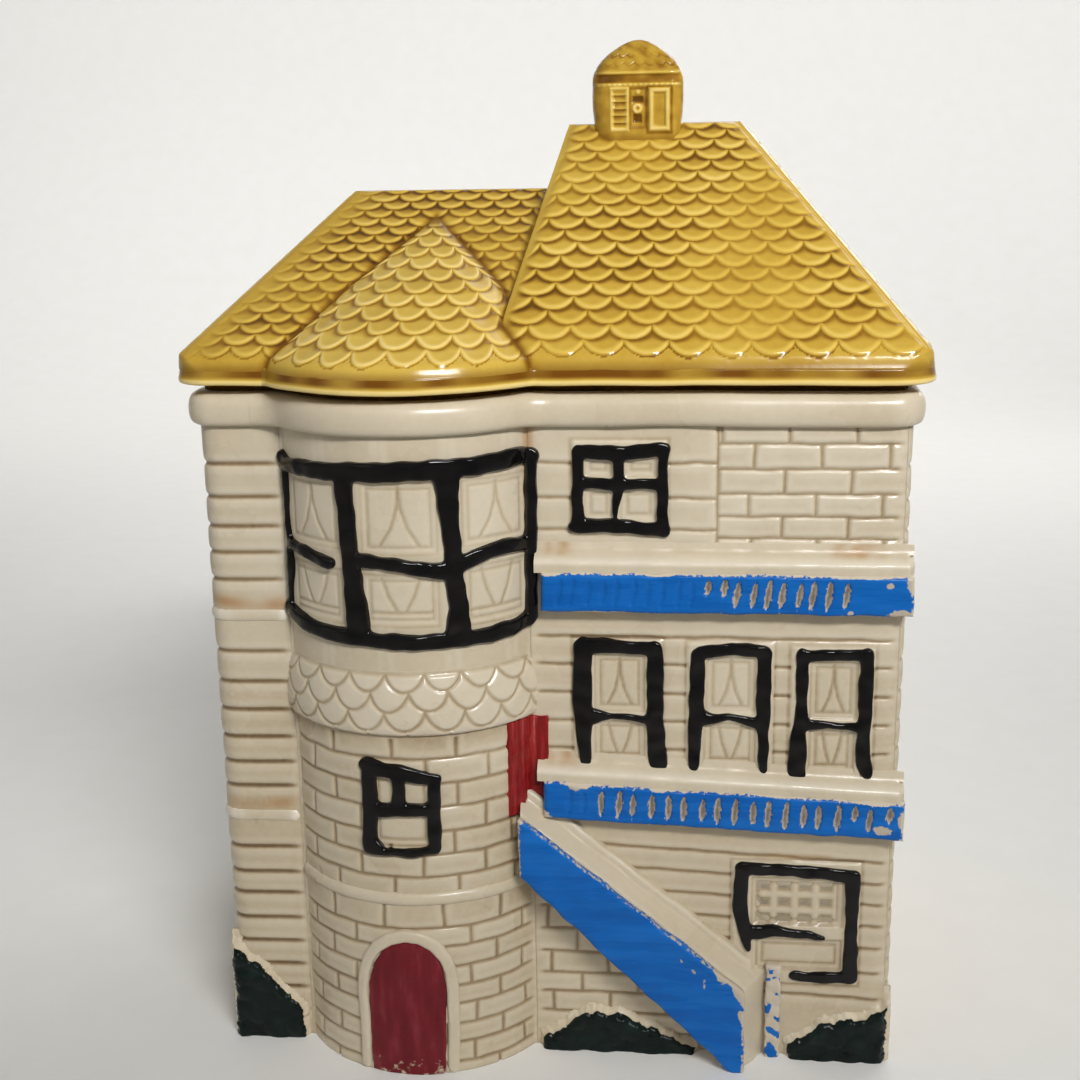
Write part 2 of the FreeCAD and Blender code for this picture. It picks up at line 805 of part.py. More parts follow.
def tower_window():
    centre = tower_x + tower_window_shift
    left = centre - tower_window_width / 2
    right = centre + tower_window_width / 2
    low = tower_sill
    high = tower_head
    inner_left = left + tower_window_bar
    inner_right = right - tower_window_bar
    pane_low = low + tower_window_bar
    rail = pane_low + tower_window_lower_pane
    panes = [(inner_left, inner_right, pane_low, rail)]
    panes += pane_grid(
        inner_left, inner_right, rail + tower_window_rail, high - tower_window_bar, 2, 1, tower_window_bar)
    frame = drum_relief([(left, low), (right, low), (right, high), (left, high)], frame_proud)
    for x0, x1, z0, z1 in panes:
        hole = [(x0, z0), (x1, z0), (x1, z1), (x0, z1)]
        frame = frame.cut(drum_relief(hole, frame_proud + overshoot))
    return frame


def arched_face(width, height):
    centre = tower_x + door_shift
    half = width / 2
    spring = height - half
    left_foot = Vec(centre - half, tower_y, 0)
    right_foot = Vec(centre + half, tower_y, 0)
    left_spring = Vec(centre - half, tower_y, spring)
    right_spring = Vec(centre + half, tower_y, spring)
    crown = Vec(centre, tower_y, height)
    edges = [
        Part.LineSegment(left_foot, right_foot).toShape(),
        Part.LineSegment(right_foot, right_spring).toShape(),
        Part.Arc(right_spring, crown, left_spring).toShape(),
        Part.LineSegment(left_spring, left_foot).toShape(),
    ]
    return Part.Face(Part.Wire(edges))


def tower_door():
    return drum_wrap(arched_face(door_width, door_height), door_proud)


def door_arch():
    whole = drum_wrap(arched_face(door_width + 2 * arch_band, door_height + arch_band), arch_proud)
    return whole.cut(drum_wrap(arched_face(door_width, door_height), arch_proud + overshoot))


def corner_door():
    foot = lower_ledge_top - corner_door_drop
    inner = Vec(wing_left, wall_front + wall, foot)
    outer = drum_point(tower_radius + door_proud, corner_door_angle, foot)
    end = Vec(balcony_left, wall_front, foot)
    face = Part.Face(Part.makePolygon([outer, end, inner, outer]))
    leaf = face.extrude(UP * (skirt_bottom - foot))
    return leaf.cut(plan_prism(slip_line, crease_radius, foot - overshoot, skirt_bottom + overshoot))


def band(bottom):
    """Moulding round the end walls and back; the front keeps it only left of the tower."""
    low = bottom - overshoot
    high = bottom + band_height + overshoot
    ring = plan_prism(band_proud, crease_radius, bottom, bottom + band_height)
    return plain_ends(ring.cut(plan_prism(0, crease_radius, low, high)), low, high)


def shrub(left, right, height_left, height_middle, height_right):
    """Low clump with a lobed top edge between three heights."""
    count = max(int((right - left) / shrub_lobe), 2)
    step = (right - left) / count

    def top(x):
        share = (x - left) / (right - left)
        if share < 0.5:
            return height_left + (height_middle - height_left) * share * 2
        return height_middle + (height_right - height_middle) * (share * 2 - 1)

    def at(x, z):
        return Vec(x, wall_front + corner_radius, z)

    edges = [
        Part.LineSegment(at(left, top(left)), at(left, 0)).toShape(),
        Part.LineSegment(at(left, 0), at(right, 0)).toShape(),
        Part.LineSegment(at(right, 0), at(right, top(right))).toShape(),
    ]
    for index in range(count):
        start = right - index * step
        end = start - step
        middle = (start + end) / 2
        lobe = Part.Arc(at(start, top(start)), at(middle, top(middle) + shrub_bulge), at(end, top(end)))
        edges.append(lobe.toShape())
    clump = Part.Face(Part.Wire(edges)).extrude(Vec(0, -corner_radius - shrub_proud, 0))
    return seated(clump)


def save(name, shape):
    shape.exportStep(f"parts/{name}.step")


lower_floor = lower_ledge_top - ledge_height
shell = jar_shell()
lid = roof_lid()
upper_ledge = ledge(upper_ledge_top, 0)
lower_ledge = ledge(lower_ledge_top, lower_floor_fall)
upper_balcony = balcony(upper_floor, 0)
lower_balcony = balcony(lower_floor, lower_floor_fall)
terrace_door = corner_door()
parapet = stair_parapet()
drum_clear = Part.makeCylinder(tower_radius + slip_line, rim_top, Vec(tower_x, tower_y, 0))
string_course = drum_ring(
    string_course_proud, string_course_height, string_course_height + string_course_thickness,
    string_course_round)
ramp = stair_ramp([drum_clear, string_course, lower_balcony, lower_ledge, terrace_door])
post = newel_post()
garden_frame = garden_window([ramp, post])
first_french, second_french, third_french = french_windows()
middle_shrub_left = wing_left + crease_radius
middle_shrub_right = stair_right - stair_foot_length - middle_shrub_gap

save("jar_shell", shell)
save("rim_roll", rim_roll())
save("bay_window_frame", bay_window())
save("bay_skirt", drum_ring(skirt_proud, skirt_bottom, skirt_top))
save("tower_window_frame", tower_window())
save("tower_string_course", string_course)
save("tower_door", tower_door())
save("tower_door_arch", door_arch())
save("terrace_door", terrace_door)
save("attic_window_frame", attic_window())
save("upper_ledge", upper_ledge)
save("upper_balcony", upper_balcony)
save("left_french_frame", first_french)
save("middle_french_frame", second_french)
save("right_french_frame", third_french)
save("lower_ledge", lower_ledge)
save("lower_balcony", lower_balcony)
save("stair_parapet", parapet)
save("stair_ramp", ramp)
save("newel_post", post)
save("garden_window_frame", garden_frame)
save("upper_band", band(upper_band_height))
save("lower_band", band(lower_band_height))
save("left_shrub", shrub(
    -half_width - shrub_end, left_crease - crease_radius,
    left_shrub_height, (left_shrub_height + left_shrub_low) / 2, left_shrub_low))
save("middle_shrub", shrub(
    middle_shrub_left, middle_shrub_right,
    middle_shrub_low, middle_shrub_height, middle_shrub_low))
save("right_shrub", shrub(
    newel_right + right_shrub_gap, half_width + shrub_end,
    right_shrub_low, (right_shrub_low + right_shrub_height) / 2, right_shrub_height))
save("roof_lid", lid)
save("cupola_walls", cupola_walls(lid))
save("cupola_roof", cupola_roof())
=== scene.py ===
import math
import bmesh
import bpy
import numpy as np
from mathutils import Matrix, Vector, noise


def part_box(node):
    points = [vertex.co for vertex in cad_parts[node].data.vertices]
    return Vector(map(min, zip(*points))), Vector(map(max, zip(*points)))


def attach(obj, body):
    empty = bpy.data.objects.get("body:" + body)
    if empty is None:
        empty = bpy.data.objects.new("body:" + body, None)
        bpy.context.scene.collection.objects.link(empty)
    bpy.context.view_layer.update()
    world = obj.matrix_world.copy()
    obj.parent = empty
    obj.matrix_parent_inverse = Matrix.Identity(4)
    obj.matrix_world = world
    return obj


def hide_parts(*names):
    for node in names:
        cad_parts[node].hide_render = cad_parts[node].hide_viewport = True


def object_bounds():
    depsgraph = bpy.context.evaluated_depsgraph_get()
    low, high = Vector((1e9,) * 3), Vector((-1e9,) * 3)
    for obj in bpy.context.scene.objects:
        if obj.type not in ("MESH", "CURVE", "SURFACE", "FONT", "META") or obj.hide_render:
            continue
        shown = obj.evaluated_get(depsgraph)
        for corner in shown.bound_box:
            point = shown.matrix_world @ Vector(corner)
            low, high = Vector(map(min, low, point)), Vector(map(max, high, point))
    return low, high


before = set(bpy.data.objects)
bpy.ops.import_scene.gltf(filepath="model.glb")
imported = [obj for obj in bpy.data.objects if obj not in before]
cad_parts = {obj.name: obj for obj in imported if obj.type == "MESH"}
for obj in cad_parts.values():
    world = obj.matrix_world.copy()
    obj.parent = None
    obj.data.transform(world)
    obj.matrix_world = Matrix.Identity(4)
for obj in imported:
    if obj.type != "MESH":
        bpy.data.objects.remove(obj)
cadLow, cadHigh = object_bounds()
scene = bpy.context.scene
noise.seed_set(4)  # noise_vector draws its offsets at random without this
mm = 0.001


def nodeBox(node):
    low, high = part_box(node)
    return Vector(low) / mm, Vector(high) / mm


shellLow, shellHigh = nodeBox("jar_shell")
rimLow = nodeBox("rim_roll")[0]
wallFront = nodeBox("attic_window_frame")[1].y

house = {  # millimetres, the walls as packed
    "left": shellLow.x,
    "right": shellHigh.x,
    "front": wallFront,
    "back": shellHigh.y,
    "towerX": shellLow.x + 56.0,
    "towerY": wallFront + 19.8,
    "towerRadius": 38.0,
    "corner": 5.0,
    "crease": 2.0,
    "wallTop": rimLow.z,
    "skin": 0.8,  # relief stands this far off the plain wall
    "tuck": -1.2,  # and its outer ring sinks this far into it
}
print("frame loaded", len(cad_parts), "nodes")


# colours and finishes

def linearColour(hexValue):
    channels = [int(hexValue[spot:spot + 2], 16) / 255 for spot in (1, 3, 5)]
    return tuple(c / 12.92 if c <= 0.04045 else ((c + 0.055) / 1.055) ** 2.4 for c in channels) + (1.0,)


def addNode(tree, kind, settings=None, links=None):
    node = tree.nodes.new("ShaderNode" + kind)
    for key, value in (settings or {}).items():
        if key == "stops":
            while len(node.color_ramp.elements) < len(value):
                node.color_ramp.elements.new(0.5)
            for element, (spot, colour) in zip(node.color_ramp.elements, value):
                element.position = spot
                element.color = linearColour(colour)
        elif isinstance(key, str) and key[0].islower():
            setattr(node, key, value)
        else:
            node.inputs[key].default_value = value
    for key, source in (links or {}).items():
        tree.links.new(source, node.inputs[key])
    return node


def startMaterial(name, layer):
    material = bpy.data.materials.new(name)
    material.use_nodes = True
    tree = material.node_tree
    place = addNode(tree, "TexCoord").outputs["Object"]
    marks = [addNode(tree, "Attribute", {"attribute_name": key}) for key in ("rise", layer)]
    return material, tree, place, *(mark.outputs["Fac"] for mark in marks)


def speckle(tree, place, size, detail):
    settings = {"Scale": 1 / (size * mm), "Detail": detail}
    return addNode(tree, "TexNoise", settings, {"Vector": place}).outputs["Fac"]


def addShare(tree, value, share, base):
    return addNode(tree, "Math", {"operation": "MULTIPLY_ADD", 1: share}, {0: value, 2: base}).outputs[0]


def endMaterial(tree, look, colour, gloss, grain):
    shader = tree.nodes["Principled BSDF"]
    rough = addNode(tree, "MapRange", {"To Min": look["smooth"], "To Max": look["dull"]}, {"Value": gloss})
    skin = addNode(tree, "Bump", {"Strength": look["bump"], "Distance": 0.4 * mm}, {"Height": grain})
    links = {"Base Color": colour, "Roughness": rough.outputs[0], "Normal": skin.outputs[0]}
    for key, source in links.items():
        tree.links.new(source, shader.inputs[key])
    shader.inputs["IOR"].default_value = 1.5
    shader.inputs["Specular IOR Level"].default_value = look["shine"]
    if "coat" in look:
        shader.inputs["Coat Weight"].default_value = look["coat"]
        shader.inputs["Coat Roughness"].default_value = 0.06


def glazeMaterial(name, look):
    material, tree, place, rise, stain = startMaterial(name, "stain")
    cloud = speckle(tree, place, look["cloudSize"], 4.0)
    grit = speckle(tree, place, look["gritSize"], 3.0)
    level = addShare(tree, grit, look["grit"], addShare(tree, cloud, look["cloud"], rise))
    even = (look["cloud"] + look["grit"]) / 2
    level = addNode(tree, "Math", {"operation": "SUBTRACT", 1: even}, {0: level})
    ramp = addNode(tree, "ValToRGB", {"stops": look["stops"]}, {0: level.outputs[0]})
    pooled = addNode(tree, "Mix", {"data_type": "RGBA", 7: linearColour(look["stain"])},
                     {0: stain, 6: ramp.outputs["Color"]})
    endMaterial(tree, look, pooled.outputs[2], cloud, grit)
    return material


# glazed earthenware: clear glaze over off-white slip, tan where it pools in grooves, palest where it is thin
creamGlaze = glazeMaterial("creamGlazedEarthenware", {
    "cloudSize": 24.0,
    "cloud": 0.26,
    "gritSize": 1.8,
    "grit": 0.12,
    "smooth": 0.2,
    "dull": 0.38,
    "bump": 0.07,
    "coat": 0.08,
    "shine": 0.5,
    "stops": [(0.0, "#6f5a3e"), (0.2, "#9c8768"), (0.4, "#c3b498"), (0.6, "#d3c7b0"), (1.0, "#e8dfce")],
    "stain": "#a9793f",
})
# glazed earthenware: honey lead glaze over buff clay, brown in the cuts, lemon on the raised lips
honeyGlaze = glazeMaterial("honeyGlazedEarthenware", {
    "cloudSize": 16.0,
    "cloud": 0.22,
    "gritSize": 1.8,
    "grit": 0.10,
    "smooth": 0.12,
    "dull": 0.28,
    "bump": 0.06,
    "coat": 0.08,
    "shine": 0.34,
    # the darkest stop serves the painted shade on the lid's flange
    "stops": [(0.0, "#1d1204"), (0.13, "#674409"), (0.28, "#94691a"), (0.47, "#c09a36"), (0.7, "#d9b752"),
              (1.0, "#f0d588")],
    "stain": "#744604",
})


def enamelMaterial(name, look):
    material, tree, place, rise, bare = startMaterial(name, "bare")
    fineness = [1 / (size * mm) for size in look["hairs"]]
    pull = addNode(tree, "Mapping", {"Scale": fineness}, {"Vector": place})
    hair = addNode(tree, "TexNoise", {"Scale": 1.0, "Detail": 4.0}, {"Vector": pull.outputs[0]})
    hair = hair.outputs["Fac"]
    paint = addNode(tree, "ValToRGB", {"stops": look["stops"]}, {0: hair})
    chip = speckle(tree, place, look["chipSize"], 4.0)
    worn = addShare(tree, rise, look["wear"], addShare(tree, chip, 0.7, bare))
    limit = 0.85 + look["wear"] / 2  # the paint ends here, within a narrow step
    worn = addNode(tree, "MapRange", {"From Min": limit - 0.04, "From Max": limit + 0.04}, {"Value": worn})
    clay = addNode(tree, "ValToRGB", {"stops": look["clay"]}, {0: rise})
    colour = addNode(tree, "Mix", {"data_type": "RGBA"},
                     {0: worn.outputs[0], 6: paint.outputs["Color"], 7: clay.outputs["Color"]})
    endMaterial(tree, look, colour.outputs[2], hair, hair)
    return material


bareClay = [(0.0, "#6e4c33"), (0.3, "#96775c"), (0.6, "#cdbfa4"), (1.0, "#e6dcc8")]
dustyClay = [(0.0, "#62574e"), (0.3, "#867a6e"), (0.6, "#c6baa6"), (1.0, "#e4dac8")]
# brushed ceramic enamel, black: thick and wet-looking with sharp highlights
blackEnamel = enamelMaterial("blackBrushedEnamel", {
    "hairs": (9.0, 9.0, 9.0), "stops": [(0.3, "#060506"), (0.7, "#100e0e")],
    "chipSize": 2.2, "wear": 0.1, "clay": bareClay, "smooth": 0.06, "dull": 0.18, "bump": 0.1, "shine": 0.3,
})
# brushed ceramic enamel, cobalt: flat and even, chipped back to cream on sharp edges
blueEnamel = enamelMaterial("blueBrushedEnamel", {
    "hairs": (24.0, 3.0, 3.0), "stops": [(0.3, "#0a58a8"), (0.5, "#0d61b2"), (0.72, "#176bbe")],
    "chipSize": 1.1, "wear": 0.75, "clay": dustyClay,
    "smooth": 0.2, "dull": 0.36, "bump": 0.12, "shine": 0.2,
})
# brushed ceramic enamel, red: dry streaks along the stroke
redEnamel = enamelMaterial("redBrushedEnamel", {
    "hairs": (1.3, 1.3, 22.0),
    "stops": [(0.35, "#741516"), (0.55, "#8d1f1f"), (0.7, "#a13331"), (0.8, "#c98d80")],
    "chipSize": 2.0, "wear": 0.5, "clay": bareClay, "smooth": 0.18, "dull": 0.36, "bump": 0.2, "shine": 0.22,
})
# brushed ceramic enamel, maroon: even and glossy, paler where the brush ran dry at the foot
maroonEnamel = enamelMaterial("maroonBrushedEnamel", {
    "hairs": (3.0, 3.0, 14.0), "stops": [(0.3, "#5f151d"), (0.55, "#701b24"), (0.8, "#86303a")],
    "chipSize": 2.0, "wear": 0.3, "clay": bareClay, "smooth": 0.12, "dull": 0.28, "bump": 0.1, "shine": 0.22,
})
# brushed ceramic enamel, bottle green: nearly black and glossy, cream fringe left bare along the tops
greenEnamel = enamelMaterial("greenBrushedEnamel", {
    "hairs": (6.0, 6.0, 6.0), "stops": [(0.3, "#081110"), (0.6, "#0e1c19"), (0.85, "#1a2f29")],
    "chipSize": 1.8, "wear": 0.15, "clay": bareClay, "smooth": 0.2, "dull": 0.4, "bump": 0.1, "shine": 0.2,
})
creamJar = ("jar", "cream_glaze", creamGlaze)  # body, slot and material
blueJar = ("jar", "blue_glaze", blueEnamel)
honeyLid = ("lid", "honey_glaze", honeyGlaze)
print("finishes ready")


# shared shaping

def ease(low, high, value):
    share = np.clip((value - low) / (high - low), 0, 1)
    return share * share * (3 - 2 * share)


def fade(low, high, value):
    return 1 - ease(low, high, value)


def bump(gap, near, far):
    return 1 - ease(near, far, np.abs(gap))


def uneven(a, b, size, seed):
    spots = zip((np.asarray(a) / size).tolist(), (np.asarray(b) / size).tolist())
    return np.array([noise.noise(Vector((x, y, seed))) for x, y in spots])


def lineGap(a, b, start, end):
    reach = np.subtract(end, start)
    share = np.clip(((a - start[0]) * reach[0] + (b - start[1]) * reach[1]) / (reach @ reach), 0, 1)
    return np.hypot(a - start[0] - share * reach[0], b - start[1] - share * reach[1])


def boxGap(a, b, box):  # distance inside a rectangle, less than nothing outside
    left, right, bottom, top = box[:4]
    return np.minimum(np.minimum(a - left, right - a), np.minimum(b - bottom, top - b))


def placeVerts(bm, points):
    for vert, point in zip(bm.verts, points.tolist()):
        vert.co = point


def sheet(columns, rows, shape, folded=True):
    bm = bmesh.new()
    bmesh.ops.create_grid(bm, x_segments=columns, y_segments=rows, size=0.5)
    spots = np.array([vert.co[:2] for vert in bm.verts]) + 0.5
    edge = (np.abs(spots - 0.5) > 0.5 - 0.3 / max(columns, rows)).any(1)
    if folded:  # the outer ring of cells turns in to meet the wall behind
        inner = np.array([1 / columns, 1 / rows])
        spots = np.clip((spots - inner) / (1 - 2 * inner), 0, 1)
    points, layers = shape(spots[:, 0], spots[:, 1], edge)
    placeVerts(bm, points)
    for name, values in layers.items():
        layer = bm.verts.layers.float.new(name)
        for vert, value in zip(bm.verts, values.tolist()):
            vert[layer] = value
    return bm


def setLayer(mesh, name, values):
    if name in mesh.attributes:
        mesh.attributes.remove(mesh.attributes[name])
    layer = mesh.attributes.new(name, "FLOAT", "POINT")
    layer.data.foreach_set("value", np.asarray(values, dtype=np.float32))


def measureRise(mesh, gain, passes):
    count = len(mesh.vertices)
    spots = np.empty(count * 3)
    normals = np.empty(count * 3)
    ends = np.empty(len(mesh.edges) * 2, dtype=np.int32)
    mesh.vertices.foreach_get("co", spots)
    mesh.vertices.foreach_get("normal", normals)
    mesh.edges.foreach_get("vertices", ends)
    spots = spots.reshape(-1, 3)
    normals = normals.reshape(-1, 3)
    first, second = ends[0::2], ends[1::2]
    links = np.bincount(first, minlength=count) + np.bincount(second, minlength=count)

    def spread(values):
        given = np.bincount(first, values[second], count) + np.bincount(second, values[first], count)
        return given / np.maximum(links, 1)

    middle = np.stack([spread(spots[:, axis]) for axis in range(3)], 1)
    level = ((spots - middle) * normals).sum(1) / mm
    for _ in range(passes):
        level = (level + spread(level)) / 2
    return np.clip(0.5 + gain * level, 0, 1)


def addPiece(bm, name, body, slot, material, replaces=(), sharp=None, gain=None, passes=2, tint=None):
    mesh = bpy.data.meshes.new(name)
    bm.normal_update()
    bm.to_mesh(mesh)
    bm.free()
    spots = np.empty(len(mesh.vertices) * 3)
    mesh.vertices.foreach_get("co", spots)
    spots = np.clip(spots.reshape(-1, 3) * mm, cadLow, cadHigh)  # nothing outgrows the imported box
    mesh.vertices.foreach_set("co", spots.ravel())
    mesh.update()
    mesh.shade_smooth()
    if sharp:
        mesh.set_sharp_from_angle(angle=math.radians(sharp))
    level = np.full(len(spots), 0.5)
    if gain:
        level = measureRise(mesh, gain, passes)
        setLayer(mesh, "rise", level)
    if tint:
        for layer, values in tint(spots / mm, level).items():
            setLayer(mesh, layer, values)
    mesh.materials.append(material)
    piece = bpy.data.objects.new(name, mesh)
    scene.collection.objects.link(piece)
    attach(piece, body)
    if replaces:
        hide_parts(*replaces)
    print("made", name, len(mesh.polygons), "faces")
    return piece


def camelName(node):
    first, *rest = node.split("_")
    return first + "".join(word.capitalize() for word in rest)


def weld(bm, gap=0.003):
    bmesh.ops.remove_doubles(bm, verts=bm.verts, dist=gap)
    return bm


def relax(bm, verts, rounds):
    for _ in range(rounds):
        bmesh.ops.smooth_vert(bm, verts=verts, factor=0.5,
                              use_axis_x=True, use_axis_y=True, use_axis_z=True)
    return bm


def castCopy(node):
    bm = bmesh.new()
    bm.from_mesh(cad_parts[node].data)
    weld(bm, 0.02 * mm)
    bmesh.ops.scale(bm, vec=(1 / mm, 1 / mm, 1 / mm), verts=bm.verts)
    return bm


def fuse(bm, voxel, rounds):  # overlapping lumps become one skin with soft corners
    mesh = bpy.data.meshes.new("lump")
    bm.to_mesh(mesh)
    bm.free()
    lump = bpy.data.objects.new("lump", mesh)
    scene.collection.objects.link(lump)
    remesh = lump.modifiers.new("Remesh", "REMESH")
    remesh.mode = "VOXEL"
    remesh.voxel_size = voxel
    solid = bmesh.new()
    solid.from_object(lump, bpy.context.evaluated_depsgraph_get())
    bpy.data.objects.remove(lump)
    bpy.data.meshes.remove(mesh)
    return relax(solid, solid.verts, rounds)


def wobble(bm, size, amount, seed):
    shift = Vector((seed, seed * 1.7, seed * 0.6))
    for vert in bm.verts:
        vert.co += noise.noise_vector(vert.co / size + shift) * amount
    return bm


def addBar(bm, start, end, front, back, taper=0.85):
    a0, z0, w0 = start
    a1, z1, w1 = end
    along = Vector((a1 - a0, z1 - z0)).normalized()
    for vert in bmesh.ops.create_cube(bm, size=1.0)["verts"]:
        far = vert.co.x > 0
        near = vert.co.y < 0
        a, z, width = (a1, z1, w1) if far else (a0, z0, w0)
        half = math.copysign(width / 2, vert.co.z) * (taper if near else 1.0)
        vert.co = (a - along.y * half, -front if near else back, z + along.x * half)


def addDisc(bm, spot, front, back, taper=0.8):
    a, z, width = spot
    turn = Matrix.Translation((a, (back - front) / 2, z)) @ Matrix.Rotation(math.radians(90), 4, "X")
    bmesh.ops.create_cone(bm, cap_ends=True, segments=14, radius1=width / 2, radius2=width / 2 * taper,
                          depth=front + back, matrix=turn)


def addStroke(bm, stroke, front, back):
    for spot in stroke:
        addDisc(bm, spot, front, back)
    for start, end in zip(stroke, stroke[1:]):
        addBar(bm, start, end, front, back)


def addPlate(bm, outline, front, back):
    face = bm.faces.new([bm.verts.new((a, back, z)) for a, z in outline])
    grown = bmesh.ops.extrude_face_region(bm, geom=[face])["geom"]
    lifted = [part for part in grown if isinstance(part, bmesh.types.BMVert)]
    bmesh.ops.translate(bm, vec=(0, -front - back, 0), verts=lifted)
    bmesh.ops.recalc_face_normals(bm, faces=bm.faces)


# plan of the walls: anticlockwise from the tower's left crease

def arcPoints(centre, radius, start, end, count=16):
    turn = np.radians(np.linspace(start, end, count))
    return np.stack([centre[0] + radius * np.cos(turn), centre[1] + radius * np.sin(turn)], 1)


def runLength(points):
    return np.concatenate([[0], np.cumsum(np.hypot(*np.diff(points, axis=0).T))])


def closedPath(runs):
    points = np.concatenate(runs + [runs[0][:1]])
    length = runLength(points)
    return {"points": points, "length": length, "total": length[-1]}


def planPath(offset, crease):
    radius = house["towerRadius"] + offset
    front = house["front"] - offset
    hollow = front - crease
    drop = house["towerY"] - hollow
    reach = math.sqrt((radius + crease) ** 2 - drop ** 2)
    lean = math.degrees(math.atan2(drop, reach))
    corner = house["corner"] + offset
    right = house["right"] + offset - corner
    left = house["left"] - offset + corner
    back = house["back"] + offset - corner
    runs = [
        arcPoints((house["towerX"] - reach, hollow), crease, 90, lean),
        arcPoints((house["towerX"], house["towerY"]), radius, 180 + lean, 360 - lean, 120),
        arcPoints((house["towerX"] + reach, hollow), crease, 180 - lean, 90),
        arcPoints((right, front + corner), corner, -90, 0),
        arcPoints((right, back), corner, 0, 90),
        arcPoints((left, back), corner, 90, 180),
        arcPoints((left, front + corner), corner, 180, 270),
    ]
    path = closedPath(runs)
    length = path["length"]
    ends = np.cumsum([len(run) for run in runs]) - 1
    path["drumMiddle"] = (length[ends[0] + 1] + length[ends[1]]) / 2
    path["wingStart"] = length[ends[2]]
    path["cornerMiddle"] = (length[ends[2] + 1] + length[ends[3]]) / 2
    return path


def pathAt(path, s):
    spot = []
    lean = []
    for axis in (0, 1):
        line = path["points"][:, axis]
        spot.append(np.interp(s % path["total"], path["length"], line))
        ahead = np.interp((s + 0.06) % path["total"], path["length"], line)
        lean.append(ahead - np.interp((s - 0.06) % path["total"], path["length"], line))
    size = np.hypot(*lean)
    return spot[0], spot[1], lean[1] / size, -lean[0] / size


def wallSheet(path, span, levels, pitch, carve):
    columns = round((span[1] - span[0]) / pitch[0])
    rows = round((levels[1] - levels[0]) / pitch[1])

    def shape(u, v, edge):
        s = span[0] + u * (span[1] - span[0])
        z = levels[0] + v * (levels[1] - levels[0])
        height, layers = carve(s, z)
        layers["rise"] = layers["rise"] - 0.11 * fade(60.0, 160.0, z)  # painted shade: the walls darken towards the foot, where less light falls
        height = np.where(edge, house["tuck"], height)
        x, y, outX, outY = pathAt(path, s)
        return np.stack([x + outX * height, y + outY * height, z], 1), layers

    return sheet(columns, rows, shape)


# relief on the flat front of the wing, its levels counted above a sloping line
def faceSheet(span, levels, pitch, carve, line=None):
    columns = round((span[1] - span[0]) / pitch)
    rows = round((levels[1] - levels[0]) / pitch)

    def shape(u, v, edge):
        x = span[0] + u * (span[1] - span[0])
        w = levels[0] + v * (levels[1] - levels[0])
        height, layers = carve(x, w)
        height = np.where(edge, -0.4, height)
        z = w + line(x) if line else w
        return np.stack([x, house["front"] - height, z], 1), layers

    return sheet(columns, rows, shape)


def sweep(path, section, pitch, steps, span=None, vary=None, tone=None, soften=4):
    loop = np.array(section + section[:1], dtype=float)
    run = runLength(loop)
    marks = np.linspace(0, run[-1], steps + 1)[:-1]
    loop = np.stack([np.interp(marks, run, loop[:, axis]) for axis in (0, 1)], 1)
    for _ in range(soften):
        loop = (np.roll(loop, 1, 0) + 2 * loop + np.roll(loop, -1, 0)) / 4
    start, end = span or (0, path["total"])
    columns = round((end - start) / pitch)

    def shape(u, v, edge):
        s = start + u * (end - start)
        around = np.round(v * steps).astype(int) % steps
        out, z = loop[around, 0], loop[around, 1]
        layers = tone(s, out, z) if tone else {}
        if span:  # the ends close on the middle of the section
            shut = (u < 0.2 / columns) | (u > 1 - 0.2 / columns)
            out = np.where(shut, loop[:, 0].mean(), out)
            z = np.where(shut, loop[:, 1].mean(), z)
        if vary:
            out, z = vary(s, out, z)
        x, y, outX, outY = pathAt(path, s)
        return np.stack([x + outX * out, y + outY * out, z], 1), layers

    return weld(sheet(columns, steps, shape, folded=False), 0.004)


def handMade(lean, sway, push=0.0):  # amount, size and seed of the waver in and out, then up and down
    return lambda s, out, z: (out + push + lean[0] * uneven(s, z, *lean[1:]),
                              z + sway[0] * uneven(s, s * 0, *sway[1:]))


wallPath = planPath(0.0, house["crease"])
paintPath = planPath(0.0, 5.0)  # thick paint fills the creases beside the tower
drumMiddle = wallPath["drumMiddle"]
wingStart = wallPath["wingStart"]
wingEnd = wallPath["cornerMiddle"]
wallLevels = (0.0, house["wallTop"] + 1.0)


def toWall(bm):
    bmesh.ops.translate(bm, vec=(0, house["front"], 0), verts=bm.verts)
    return bm


def toDrum(bm):
    flat = np.array([vert.co[:] for vert in bm.verts])
    x, y, outX, outY = pathAt(paintPath, paintPath["drumMiddle"] + flat[:, 0])
    bent = np.stack([x - outX * flat[:, 1], y - outY * flat[:, 1], flat[:, 2]], 1)
    placeVerts(bm, bent)
    return bm


def courseGap(z, lines):
    row = np.searchsorted(lines, z)
    low = np.concatenate([[-99.0], lines])[row]
    high = np.concatenate([lines, [999.0]])[row]
    return np.minimum(z - low, high - z), row


def brickGap(a, z, bricks):
    length, shift = bricks["length"], bricks["shift"]
    gap, row = courseGap(z, bricks["courses"])
    spread = np.sin(row * 5.3 + shift) * 0.8
    along = (a + shift + spread) / length + (row % 2) * 0.5
    share = along % 1.0
    joint = np.minimum(share, 1 - share) * length
    tone = np.sin(np.floor(along) * 12.9 + row * 78.2) * 0.5
    return np.minimum(gap, joint), tone


def groove(gap, width=0.9):
    return fade(0.1, width, gap)


def press(height, rise, mask, out, pale):
    return height + out * mask, rise + pale * mask


curtains = {  # folds as (share of the half width, share of the height)
    "parted": [[(0, 1), (-0.06, 0.66), (-0.26, 0.34), (-0.62, 0.05)],
               [(0, 1), (0.06, 0.66), (0.26, 0.34), (0.62, 0.05)]],
    "gathered": [[(-0.6, 1), (-0.42, 0.6), (-0.12, 0.2)],
                 [(0.6, 1), (0.42, 0.6), (0.12, 0.2)],
                 [(-1, 0.2), (1, 0.2)]],
}


